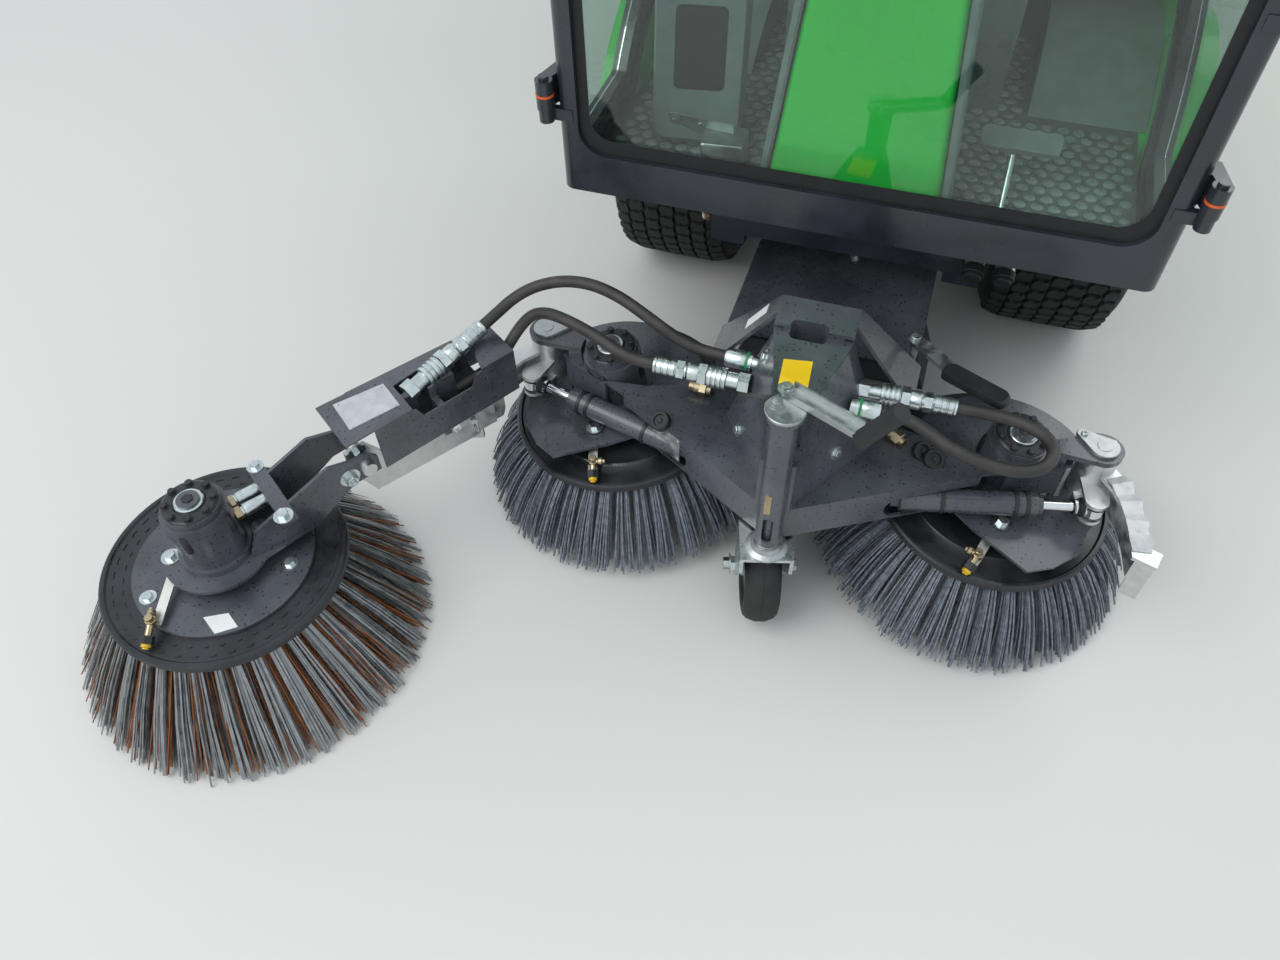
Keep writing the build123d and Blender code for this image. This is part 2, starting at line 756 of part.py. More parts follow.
cover_y = 1760
hopper_front_y = cover_y + 52
louvre_count, louvre_pitch, louvre_low, louvre_long = 7, 22, 690, 260
cover_outer = rear_block(0, rail_top + 15, cover_top, cover_y)
cover_inner = rear_block(6, rail_top, cover_top - 6, cover_y)
skirt_outer = rear_block(0, cover_low, rail_top + 16, cover_y)
skirt_inner = rear_block(6, cover_low - 1, rail_top + 17, cover_y)
with BuildPart() as engine_cover:
    add(skirt_outer)
    add(skirt_inner, mode=Mode.SUBTRACT)
    add(cover_outer)
    add(cover_inner, mode=Mode.SUBTRACT)
    with BuildSketch(level(cover_top - 20)):
        with Locations((0, riser_y)):
            Circle(duct_r + seat_gap)
    extrude(amount=40, mode=Mode.SUBTRACT)
    with BuildSketch(frontal(cover_y + 200)):
        with Locations((0, 400)):
            Rectangle(2 * rail_out + 30, 280)
    extrude(amount=300, mode=Mode.SUBTRACT)
    for side in (1, -1):
        with BuildSketch(flank(side * arch_in)):
            with Locations((rear_axle_y, tyre_r)):
                Circle(arch_r + arch_skin)
        extrude(amount=side * (fender_out - arch_in))
        with BuildSketch(flank(side * (arch_in + 4))):
            with Locations((rear_axle_y, tyre_r)):
                Circle(arch_r)
        extrude(amount=side * 300, mode=Mode.SUBTRACT)
        with BuildSketch(flank(side * (arch_in - 1))):
            with Locations((rear_axle_y, tyre_r / 2)):
                Rectangle(760, tyre_r + 300)
        extrude(amount=side * 300, mode=Mode.SUBTRACT)
    with BuildSketch(frontal(rear_end_y - 36)):
        with Locations((0, 400)):
            RectangleRounded(2 * cab_half - 20, 120, 30)
    extrude(amount=-36)
    with BuildSketch(level(cover_top - 2)):
        for side in (1, -1):
            with Locations((side * 380, hopper_front_y + 60)):
                Circle(28)
    extrude(amount=hopper_low - seat_gap - cover_top + 2)
    for side in (1, -1):
        for step in range(louvre_count):
            low = louvre_low + step * louvre_pitch
            with BuildSketch(frontal(engine_y + louvre_long / 2)):
                Polygon(
                    (side * (cab_half - 2), low),
                    (side * (cab_half + 7), low),
                    (side * (cab_half + 7), low + 3),
                    (side * (cab_half - 2), low + 14),
                    align=None,
                )
            extrude(amount=louvre_long)
engine_cover.part.label = "engine_cover"
export_step(engine_cover.part, "parts/engine_cover.step")

# Tail lamps on the rear wall of the engine cover, above the bumper
with BuildPart() as tail_lamps:
    for side in (1, -1):
        with BuildSketch(frontal(rear_end_y - 30 + seat_gap)):
            with Locations((side * 370, 560)):
                RectangleRounded(150, 60, 12)
        extrude(amount=-18)
tail_lamps.part.label = "tail_lamps"
export_step(tail_lamps.part, "parts/tail_lamps.step")

# Hopper: an open-backed tank that tips about its rear foot, and the door that hangs behind it
tip_y, tip_z = rear_end_y - 5, hopper_low - 8
tip_pin_r = 10
door_y = 2690
swage_zs, swage_high = (1110, 1250, 1390), 70
with BuildPart() as hopper:
    for inset, mode in ((0, Mode.ADD), (hopper_wall, Mode.SUBTRACT)):
        with BuildSketch(flank(-cab_half + 6 + inset)):
            with BuildLine():
                Polyline(
                    (hopper_front_y + inset, hopper_low + inset),
                    (door_y + (inset and 1), hopper_low + inset),
                    (door_y + (inset and 1), hopper_top - inset),
                    (hopper_front_y + 160 + inset, hopper_top - inset),
                    (hopper_front_y + inset, hopper_top - 190 - inset / 2),
                    close=True,
                )
            make_face()
        extrude(amount=2 * (cab_half - 6 - inset), mode=mode)
    with BuildSketch(level(hopper_low - 1)):
        with Locations((0, riser_y)):
            Circle(duct_r - 5)
    extrude(amount=20, mode=Mode.SUBTRACT)
    for side in (1, -1):
        with BuildSketch(flank(side * 300)):
            with BuildLine():
                Polyline(
                    (tip_y - 175, tip_z + 9),
                    (tip_y - 175, tip_z + 1),
                    (tip_y - 20, tip_z - 7.5),
                    (tip_y, tip_z - 18),
                    (tip_y + 18, tip_z - 7),
                    (tip_y + 18, tip_z + 6),
                    (tip_y, tip_z + 13),
                    (tip_y - 20, tip_z + 7),
                    (tip_y - 60, tip_z + 7),
                    (tip_y - 65, tip_z + 9),
                    close=True,
                )
            make_face()
            with Locations((tip_y, tip_z)):
                Circle(tip_pin_r + running, mode=Mode.SUBTRACT)
        extrude(amount=side * 16)
        with BuildSketch(flank(side * 330)):
            with BuildLine():
                Polyline(
                    (door_y - 70, hopper_top - 1),
                    (door_y - 50, hopper_top + 34),
                    (door_y + 28, hopper_top + 34),
                    (door_y + 28, hopper_top + 12),
                    (door_y - 5, hopper_top - 1),
                    close=True,
                )
            make_face()
        extrude(amount=side * 14)
        with BuildSketch(flank(side * 316)):
            with Locations((door_y + 15, hopper_top + 18)):
                Circle(8)
        extrude(amount=side * 15)
    for side in (1, -1):
        for z in swage_zs:
            with BuildSketch(flank(side * (cab_half - 7))):
                with Locations(((hopper_front_y + 160 + door_y) / 2, z)):
                    SlotOverall(door_y - hopper_front_y - 260, swage_high)
            extrude(amount=side * 7, taper=35)
hopper.part.label = "hopper"
export_step(hopper.part, "parts/hopper.step")

with BuildPart(level(0)) as hopper_door:
    with BuildSketch(frontal(door_y + moving_gap)):
        with Locations((0, (hopper_low + hopper_top) / 2 + 3)):
            RectangleRounded(2 * (cab_half - 6), hopper_top - hopper_low - 12, 20)
    extrude(amount=-22)
    for side in (1, -1):
        with BuildSketch(flank(side * 303)):
            with BuildLine():
                Polyline(
                    (door_y + moving_gap + 2, hopper_top - 60),
                    (door_y + moving_gap + 20, hopper_top - 60),
                    (door_y + 29, hopper_top + 10),
                    (door_y + 29, hopper_top + 32),
                    (door_y + 1, hopper_top + 32),
                    (door_y + 1, hopper_top + 8),
                    (door_y + moving_gap + 2, hopper_top + 2),
                    close=True,
                )
            make_face()
            with Locations((door_y + 15, hopper_top + 18)):
                Circle(8 + running, mode=Mode.SUBTRACT)
        extrude(amount=side * 24)
hopper_door.part.label = "hopper_door"
export_step(hopper_door.part, "parts/hopper_door.step")

# Tipping hinge's pins stand on the engine cover's bumper
with BuildPart() as tip_brackets:
    for side in (1, -1):
        with BuildSketch(flank(side * 319)):
            with BuildLine():
                Polyline(
                    (rear_end_y - 30 + seat_gap, rail_top + 200),
                    (tip_y - 5, rail_top + 200),
                    (tip_y + 16, tip_z - 30),
                    (tip_y + 16, tip_z + 16),
                    (tip_y - 16, tip_z + 16),
                    (rear_end_y - 30 + seat_gap, tip_z - 30),
                    close=True,
                )
            make_face()
        extrude(amount=side * 12)
        with BuildSketch(flank(side * 296)):
            with Locations((tip_y, tip_z)):
                Circle(tip_pin_r)
        extrude(amount=side * 24)
tip_brackets.part.label = "tip_brackets"
export_step(tip_brackets.part, "parts/tip_brackets.step")

# Beam of the sweeping head: a top plate, a front web with a slot for each swing cylinder, end lugs
tip_front = post_r + seat_gap
web_out, web_y = 300, 182
web_low = 229
lug_outer_r = 32
with BuildPart() as beam:
    with BuildSketch(level(beam_top - plate)):
        with BuildLine():
            Polyline(
                (0, 12),
                (14, 20),
                (web_out, web_y),
                (pin_x - 38, pin_y - 24),
                (pin_x - 30, pin_y + 22),
                (393, 268),
                (330, 206),
                (263, 214),
                (128, 252),
                (0, 252),
                close=True,
            )
        make_face()
        mirror(about=Plane.YZ)
    extrude(amount=plate)
    for side in (1, -1):
        for (x1, y1), (x2, y2), low in (
            ((14, 20), (web_out, web_y), web_low),
            ((340, 198), (pin_x - 48, pin_y - 33), web_low + 12),
            ((pin_x - 56, pin_y - 36), (pin_x - 48, pin_y - 32), boss_low - seat_gap - lug_thick),
            ((263, 214), (128, 252), web_low + 20),
        ):
            with BuildSketch(level(low)):
                with BuildLine():
                    Line((side * x1, y1), (side * x2, y2))
                trace(line_width=plate)
            extrude(amount=beam_top - low)
        with BuildSketch(level(boss_low - seat_gap - lug_thick)):
            with BuildLine():
                Polyline(
                    (side * 408, 230),
                    (side * (pin_x - 20), pin_y - lug_outer_r),
                    (side * (pin_x - 20), pin_y + lug_outer_r),
                    (side * 408, 268),
                    close=True,
                )
            make_face()
            with Locations((side * pin_x, pin_y)):
                Circle(lug_outer_r)
        extrude(amount=lug_thick)
        with BuildSketch(level(boss_high + seat_gap)):
            with BuildLine():
                Polyline(
                    (side * 400, 240),
                    (side * (pin_x - 10), pin_y - lug_outer_r),
                    (side * (pin_x - 10), pin_y + lug_outer_r),
                    (side * 400, 266),
                    close=True,
                )
            make_face()
            with Locations((side * pin_x, pin_y)):
                Circle(lug_outer_r)
        extrude(amount=lug_thick)
        with BuildSketch(level(beam_top - 1)):
            with Locations((side * 412, 252)):
                Rectangle(24, 24)
        extrude(amount=boss_high + seat_gap + 2 - beam_top)
        with BuildSketch(level(boss_low - seat_gap - lug_thick)):
            with Locations((side * pin_x, pin_y)):
                Circle(pin_r)
        extrude(amount=boss_high + seat_gap + lug_thick - boss_low + seat_gap + lug_thick)
        web_run = Vector(web_out - 14, web_y - 20, 0).normalized()
        slot = Plane(
            spot(side * 241, 20 + (241 - 14) * web_run.Y / web_run.X, swing_z),
            x_dir=(side * web_run.X, web_run.Y, 0),
            z_dir=(side * web_run.Y, -web_run.X, 0),
        )
        with BuildSketch(slot):
            SlotOverall(176, 2 * barrel_r + 5)
        extrude(amount=12, both=True, mode=Mode.SUBTRACT)
        motor_axis = shaft_plane((side * main_plate[0], *main_plate[1:]), (side * main_lean[0], *main_lean[1:]))
        with BuildSketch(motor_axis):
            Circle(motor_r + 2)
        extrude(amount=200, mode=Mode.SUBTRACT)
    for reach, top in ((tip_front, beam_top), (stem_r + moving_gap, post_low + 6)):
        with BuildSketch(level(web_low - 5)):
            Circle(reach)
        extrude(amount=top + 5 - web_low, mode=Mode.SUBTRACT)
beam.part.label = "beam"
export_step(beam.part, "parts/beam.step")

# Tower: the prow behind the post, its label plate on top and the hood with its two wings
prow_top = 490


def prow(inset):
    """Solid of the prow, the inset deep under its plates; the inset one runs out at the rear."""
    with BuildPart() as block:
        with BuildSketch(level(beam_top + seat_gap - (inset and 1))):
            Polygon(
                (-16 + inset / 2, 14 + inset * 1.6),
                (16 - inset / 2, 14 + inset * 1.6),
                (122 - inset, 190 + inset / 2),
                (122 - inset, 250 + inset),
                (-122 + inset, 250 + inset),
                (-122 + inset, 190 + inset / 2),
                align=None,
            )
        with BuildSketch(level(prow_top - inset)):
            Polygon(
                (-26 + inset / 2, 62 + inset),
                (26 - inset / 2, 62 + inset),
                (56 - inset, 196 + inset / 2),
                (56 - inset, 230 + inset),
                (-56 + inset, 230 + inset),
                (-56 + inset, 196 + inset / 2),
                align=None,
            )
        loft(ruled=True)
    return block.part


prow_outer = prow(0)
prow_inner = prow(plate)
notch_at, notch_size, notch_r = (-7, 214), (58, 30), 9  # hand hole through the tower's top and the hood
with BuildPart() as tower:
    add(prow_outer)
    add(prow_inner, mode=Mode.SUBTRACT)
    with BuildSketch(level(prow_top)):
        Polygon((-32, 84), (32, 84), (62, 214), (62, 226), (-62, 226), (-62, 214), align=None)
    extrude(amount=-8)
    with BuildSketch(level(beam_top + seat_gap + 2)):
        with Locations((0, 20)):
            Rectangle(54, 40)
        with Locations((0, 48)):
            Rectangle(40, 60)
    extrude(amount=prow_top - beam_top - 62)
    with BuildSketch(level(beam_top)):
        Circle(tip_front)
    extrude(amount=400, mode=Mode.SUBTRACT)
    with BuildSketch(level(prow_top - 30)):
        with Locations(notch_at):
            RectangleRounded(*notch_size, notch_r)
    extrude(amount=60, mode=Mode.SUBTRACT)
tower.part.label = "tower"
export_step(tower.part, "parts/tower.step")

hood_top = 502
hood_wings = []
for side in (1, -1):
    run = hypot(110, hood_top - 355)
    wing_plane = Plane(
        spot(side * 62, 0, hood_top), x_dir=(0, 1, 0), z_dir=(side * (hood_top - 355) / run, 0, 110 / run)
    )
    sign = 1 if wing_plane.y_dir.Z < 0 else -1
    hood_wings.append((wing_plane, sign, run))
with BuildPart() as hood:
    with BuildSketch(level(hood_top)):
        Polygon((-62, 214), (62, 214), (62, 280), (-62, 280), align=None)
    extrude(amount=-plate)
    for wing_plane, sign, run in hood_wings:
        with BuildSketch(wing_plane):
            Polygon(
                (240, 0),
                (280, 0),
                (340, sign * run),
                (262, sign * run),
                (240, sign * run * 0.82),
                align=None,
            )
        extrude(amount=-plate)
    with BuildSketch(level(beam_top + seat_gap)):
        with Locations((0, 232)):
            Rectangle(96, 34)
    extrude(amount=hood_top - beam_top - 3)
    with BuildSketch(level(prow_top - 30)):
        with Locations(notch_at):
            RectangleRounded(*notch_size, notch_r)
    extrude(amount=60, mode=Mode.SUBTRACT)
    add(tower.part, mode=Mode.SUBTRACT)
hood.part.label = "hood"
export_step(hood.part, "parts/hood.step")

# Jack post with its slot, collar and cap
with BuildPart(level(0)) as jack_post:
    with BuildSketch(level(post_low)):
        Circle(post_r)
        Circle(post_r - 4, mode=Mode.SUBTRACT)
    extrude(amount=post_top - post_low)
    with BuildSketch(level(post_top)):
        Circle(28)
    extrude(amount=8)
    with BuildSketch(frontal(0)):
        with Locations((0, 290)):
            SlotOverall(60, 16, rotation=90)
    extrude(amount=60, mode=Mode.SUBTRACT)
    with BuildSketch(level(post_low)):
        Circle(12)
    extrude(amount=post_top - post_low + 1)
    with BuildSketch(level(post_low)):
        Circle(post_r)
    extrude(amount=8)
jack_post.part.label = "jack_post"
export_step(jack_post.part, "parts/jack_post.step")

# Castor: fork with its swivel stem and axle pin, and the wheel
turn = radians(castor_turn)
axle_at = (-castor_trail * sin(turn), castor_trail * cos(turn))
fork_plane = Plane(spot(0, 0, 0), x_dir=(cos(turn), sin(turn), 0), z_dir=(0, 0, 1))
cheek_in = castor_wheel_w / 2 + 5
with BuildPart(fork_plane) as castor_fork:
    with BuildSketch(fork_plane.offset(castor_wheel_r * 2 + 16)):
        with Locations((0, 14)):
            Rectangle(2 * cheek_in + 12, 84)
    extrude(amount=7)
    for side in (1, -1):
        cheek = Plane(
            fork_plane.from_local_coords((side * cheek_in, 0, 0)),
            x_dir=tuple(fork_plane.y_dir),
            z_dir=tuple(fork_plane.x_dir),
        )
        with BuildSketch(cheek):
            with BuildLine():
                Polyline(
                    (-28, castor_wheel_r * 2 + 18),
                    (56, castor_wheel_r * 2 + 18),
                    (castor_trail + 18, castor_wheel_r + 20),
                    (castor_trail + 14, castor_wheel_r - 16),
                    (castor_trail - 14, castor_wheel_r - 16),
                    (castor_trail - 22, castor_wheel_r + 14),
                    (-28, castor_wheel_r * 2 - 16),
                    close=True,
                )
            make_face()
        extrude(amount=side * 6)
        with BuildSketch(cheek):
            with Locations((castor_trail, castor_wheel_r)):
                RegularPolygon(14, 6)
        extrude(amount=side * 14)
    with BuildSketch(Plane(cheek.origin, x_dir=cheek.x_dir, z_dir=cheek.z_dir)):
        with Locations((castor_trail, castor_wheel_r)):
            Circle(castor_pin_r)
    extrude(amount=2 * cheek_in)
    with BuildSketch(fork_plane.offset(castor_wheel_r * 2 + 22)):
        Circle(stem_r)
    extrude(amount=post_low - seat_gap - castor_wheel_r * 2 - 22)
castor_fork.part.label = "castor_fork"
export_step(castor_fork.part, "parts/castor_fork.step")

castor_axle = Plane(
    fork_plane.from_local_coords((0, castor_trail, castor_wheel_r)),
    x_dir=(0, 0, 1),
    z_dir=tuple(fork_plane.x_dir),
)
half = castor_wheel_w / 2
with BuildPart() as castor_wheel:
    with BuildSketch(Plane(castor_axle.origin, x_dir=castor_axle.x_dir, z_dir=-castor_axle.y_dir)):
        with BuildLine():
            Polyline(
                (castor_pin_r + running, -half - 3),
                (castor_pin_r + 12, -half - 3),
                (castor_pin_r + 18, -half + 14),
                (castor_wheel_r - 28, -half + 14),
                (castor_wheel_r - 26, -half),
                (castor_wheel_r - 10, -half),
                (castor_wheel_r, -half + 16),
                (castor_wheel_r, half - 16),
                (castor_wheel_r - 10, half),
                (castor_wheel_r - 26, half),
                (castor_wheel_r - 28, half - 14),
                (castor_pin_r + 18, half - 14),
                (castor_pin_r + 12, half + 3),
                (castor_pin_r + running, half + 3),
                close=True,
            )
        make_face()
    revolve(axis=Axis(castor_axle.origin, castor_axle.z_dir))
castor_wheel.part.label = "castor_wheel"
export_step(castor_wheel.part, "parts/castor_wheel.step")

# Jack crank and the hitch lever: flat bars with grips
bars = [
    # start, end, bar width, grip start, grip end, grip radius
    ((0, 29, post_top + 8 + seat_gap), (103, -15, post_top + 8 + seat_gap), 26, (105, -26, post_top + 12), (149, -31, 620), 12),
    ((152, 342, 404), (205, 300, 404), 24, (203, 288, 408), (308, 240, 408), 13),
]
with BuildPart() as hand_levers:
    for start, end, width, grip_start, grip_end, grip_r in bars:
        heading = Vector(end[0] - start[0], end[1] - start[1], 0)
        bar_plane = Plane(spot(*start), x_dir=tuple(heading.normalized()), z_dir=(0, 0, 1))
        with BuildSketch(bar_plane):
            with Locations((heading.length / 2, 0)):
                SlotOverall(heading.length + width, width)
        extrude(amount=8)
        grip = Vector(*grip_end) - Vector(*grip_start)
        with BuildSketch(shaft_plane(grip_start, tuple(grip.normalized()), sideways=(0.3, 0.1, -0.9))):
            Circle(grip_r)
        extrude(amount=grip.length)
    with BuildSketch(level(355 + seat_gap)):
        with Locations((152, 342)):
            Circle(8)
    extrude(amount=52)
hand_levers.part.label = "hand_levers"
export_step(hand_levers.part, "parts/hand_levers.step")

# Swing cylinders: barrels in the beam's slots, rods out to the end brackets
swing_run = Vector(barrel_out[0] - barrel_in[0], barrel_out[1] - barrel_in[1], 0)
swing_way = swing_run.normalized()
rod_inside = 110
with BuildPart() as swing_barrels:
    for side in (1, -1):
        way = (side * swing_way.X, swing_way.Y, 0)
        bore = shaft_plane((side * barrel_in[0], barrel_in[1], swing_z), way, sideways=(0, 0, 1))
        with BuildSketch(bore):
            Circle(barrel_r)
        extrude(amount=swing_run.length)
        with BuildSketch(bore.offset(swing_run.length)):
            Circle(barrel_r - 3)
        extrude(amount=8)
        with BuildSketch(bore.offset(swing_run.length + 8)):
            Circle(rod_r + running)
        extrude(amount=-170, mode=Mode.SUBTRACT)
        with BuildSketch(bore.offset(-14)):
            RectangleRounded(26, 18, 3)
        extrude(amount=20)
        with BuildSketch(level(swing_z)):
            with Locations((side * barrel_in[0], barrel_in[1])):
                Circle(8)
        extrude(amount=beam_top - plate - seat_gap - swing_z)
swing_barrels.part.label = "swing_barrels"
export_step(swing_barrels.part, "parts/swing_barrels.step")

for side, name in ((1, "swing_rod_left"), (-1, "swing_rod_right")):
    way = (side * swing_way.X, swing_way.Y, 0)
    eye_at = Vector(side * rod_end[0], rod_end[1], swing_z)
    mouth = Vector(side * barrel_out[0], barrel_out[1], swing_z)
    reach = (eye_at - mouth).length
    with BuildPart() as rod:
        with BuildSketch(shaft_plane(tuple(mouth), way, sideways=(0, 0, 1)).offset(-rod_inside)):
            Circle(rod_r)
        extrude(amount=rod_inside + reach - eye_r + 4)
        with BuildSketch(shaft_plane(tuple(mouth), way, sideways=(0, 0, 1)).offset(reach - eye_r - 14)):
            Circle(13)
        extrude(amount=20)
        with BuildSketch(level(swing_z - 9)):
            with Locations((side * rod_end[0], rod_end[1])):
                Circle(eye_r)
        extrude(amount=18)
        with BuildSketch(level(swing_z - 10)):
            with Locations((side * rod_end[0], rod_end[1])):
                Circle(8)
        extrude(amount=20, mode=Mode.SUBTRACT)
    rod.part.label = name
    export_step(rod.part, f"parts/{name}.step")

# Brushes: a plate with its hub and a splayed skirt of bristles
shaft_r = 12


def tip_drop(base_z, lean, tip_r):
    """Depth of the bristle tips under the plate, along the shaft, that leaves the lowest just clear."""
    tilt = atan2(hypot(lean[0], lean[1]), lean[2])
    return (base_z - tip_clear - tip_r * sin(tilt)) / cos(tilt)


third = (
    -pin_x + third_reach * cos(radians(third_heading)),
    pin_y + third_reach * sin(radians(third_heading)),
)
tuft_count = 40
tuft_root = (150, 188, 18)  # inner radius, outer radius and width where a tuft leaves the plate
tuft_band, tuft_tip_w = 42, 34  # radial depth and width of a tuft's tip
brushes = [
    # name, middle of the plate, shaft direction, radius at the tips, radius of the steel disc on top,
    # share of the way out and down at the bend of a tuft
    ("brush_left", main_plate, main_lean, main_tip_r, 70, 0.52, 0.36),
    ("brush_right", (-main_plate[0], *main_plate[1:]), (-main_lean[0], *main_lean[1:]), main_tip_r, 70, 0.52, 0.36),
    ("brush_third", (*third, third_plate_z), (0, 0, 1), third_tip_r, 147, 0.5, 0.48),
]
for name, base, lean, tip_r, disc_r, bend_out, bend_down in brushes:
    shaft = shaft_plane(base, lean)
    drop = tip_drop(base[2], lean, tip_r)
    with BuildPart() as brush:
        with BuildSketch(Plane(shaft.origin, x_dir=shaft.x_dir, z_dir=-shaft.y_dir)):
            with BuildLine():
                Polyline(
                    (shaft_r + running, -16),
                    (48, -16),
                    (60, -plate_thick / 2),
                    (tuft_root[0] - 6, -plate_thick / 2),
                    (tuft_root[0] - 2, -plate_thick / 2 - 4),
                    (plate_r - 6, -plate_thick / 2 - 4),
                    (plate_r, -plate_thick / 2 + 2),
                    (plate_r, plate_thick / 2),
                    (plate_r - 8, plate_thick / 2),
                    (plate_r - 11, plate_thick / 2 - 4),
                    (disc_r + 4, plate_thick / 2 - 4),
                    (disc_r, plate_thick / 2),
                    (disc_r, plate_thick / 2 + 6),
                    (48, plate_thick / 2 + 6),
                    (40, plate_thick / 2 + 12),
                    (shaft_r + running, plate_thick / 2 + 12),
                    close=True,
                )
            make_face()
        revolve(axis=Axis(shaft.origin, shaft.z_dir))
        tip_in, tip_out = tip_r - 1 - tuft_band, tip_r - 1
        sections = [
            # inner radius, outer radius, width, height
            (*tuft_root, -plate_thick / 2 - 2),
            (
                tuft_root[0] + (tip_in - tuft_root[0]) * bend_out,
                tuft_root[1] + (tip_out - tuft_root[1]) * bend_out,
                tuft_root[2] + (tuft_tip_w - tuft_root[2]) * bend_out,
                -drop * bend_down,
            ),
            (tip_in, tip_out, tuft_tip_w, -drop),
        ]
        with BuildPart(mode=Mode.PRIVATE) as tuft:
            for inner, outer, width, height in sections:
                with BuildSketch(shaft.offset(height)):
                    with Locations(((inner + outer) / 2, 0)):
                        Rectangle(outer - inner, width)
            loft(ruled=True)
        around = Axis(shaft.origin, shaft.z_dir)
        add([tuft.part.rotate(around, 360 * step / tuft_count) for step in range(tuft_count)])
    brush.part.label = name
    export_step(brush.part, f"parts/{name}.step")

# Drives of the two main brushes: carrier plate, motor with its shaft, pedestal up to the beam
carrier_rise = 36
motor_top = 161
with BuildPart() as brush_drives:
    for side in (1, -1):
        shaft = shaft_plane((side * main_plate[0], *main_plate[1:]), (side * main_lean[0], *main_lean[1:]))
        with BuildSketch(shaft.offset(carrier_rise)):
            with BuildLine():
                Polyline(
                    (side * -150, -40),
                    (side * -25, -128),
                    (side * 65, -177),
                    (side * 107, -154),
                    (side * 143, -116),
                    (side * 152, -70),
                )
                ThreePointArc((side * 152, -70), (0, 168), (side * -150, -40))
            make_face()
        extrude(amount=plate)
        with BuildSketch(shaft.offset(-14)):
            Circle(shaft_r)
        extrude(amount=carrier_rise + 20)
        for radius, low, high in (
            (60, carrier_rise + plate, carrier_rise + plate + 8),
            (motor_r, carrier_rise + plate, 138),
            (motor_r - 6, 138, 150),
            (17.5, 150, motor_top),
        ):
            with BuildSketch(shaft.offset(low)):
                Circle(radius)
            extrude(amount=high - low)
        with BuildSketch(level(beam_top - plate)):
            with Locations((side * 292, 199)):
                Circle(13)
        extrude(amount=-70)
brush_drives.part.label = "brush_drives"
export_step(brush_drives.part, "parts/brush_drives.step")

# Lift arms behind the tower: the dark cover plate and the two arms back to the lift hinge
arm_half = rail_in - 8
with BuildPart() as lift_arms:
    with BuildSketch(level(349)):
        with BuildLine():
            Polyline((-165, 332), (165, 332), (165, 610), (-165, 610), close=True)
        make_face()
    extrude(amount=plate)
    for side in (1, -1):
        with BuildSketch(flank(side * (arm_half - 12))):
            with BuildLine():
                Polyline(
                    (262, 349),
                    (262, beam_top + seat_gap),
                    (560, 304),
                    (lift_y - 30, lift_z - 22),
                    (lift_y + 14, lift_z - 24),
                    (lift_y + 27, lift_z),
                    (lift_y + 14, lift_z + 24),
                    (lift_y - 30, lift_z + 25),
                    close=True,
                )
            make_face()
            with Locations((lift_y, lift_z)):
                Circle(14 + running, mode=Mode.SUBTRACT)
        extrude(amount=side * 12)
    with BuildSketch(frontal(262)):
        with Locations((0, 326)):
            Rectangle(2 * arm_half, 46)
    extrude(amount=-8)
    with BuildSketch(frontal(252 + plate)):
        with Locations((0, 285)):
            Rectangle(250, 40)
    extrude(amount=-12)
    add(hood.part, mode=Mode.SUBTRACT)
    add(beam.part, mode=Mode.SUBTRACT)
    add(tower.part, mode=Mode.SUBTRACT)
lift_arms.part.label = "lift_arms"
export_step(lift_arms.part, "parts/lift_arms.step")

# End brackets: a boss on the beam's pin, a curved web with its flange, and two ears for the rod's eye
spine = [(492, 256), (515, 226), (531, 190), (540, 150), (546, 106), (572, 98)]
flange_z = 286
hook_low = 192
arm_n = 34  # the third arm's bar lies this far from the line through its pin and brush
third_way = Vector(cos(radians(third_heading)), sin(radians(third_heading)), 0)
third_off = Vector(-third_way.Y, third_way.X, 0) * -1


def along_arm(reach, off, z=0.0):
    """A point of the third arm, by its reach from the pin and its distance to the inner side."""
    x = -pin_x + third_way.X * reach - third_off.X * off
    y = pin_y + third_way.Y * reach - third_off.Y * off
    return (x, y, z)


def arm_level(z):
    """Horizontal plane whose x runs from the pin to the third brush and y to the arm's inner side."""
    return Plane(spot(-pin_x, pin_y, z), x_dir=tuple(third_way), z_dir=(0, 0, 1))


def arm_side(off):
    """Upright plane along the third arm: x from the pin outwards, y up."""
    base = arm_level(0).from_local_coords((0, off, 0))
    return Plane(base, x_dir=tuple(third_way), z_dir=tuple(arm_level(0).y_dir * -1))


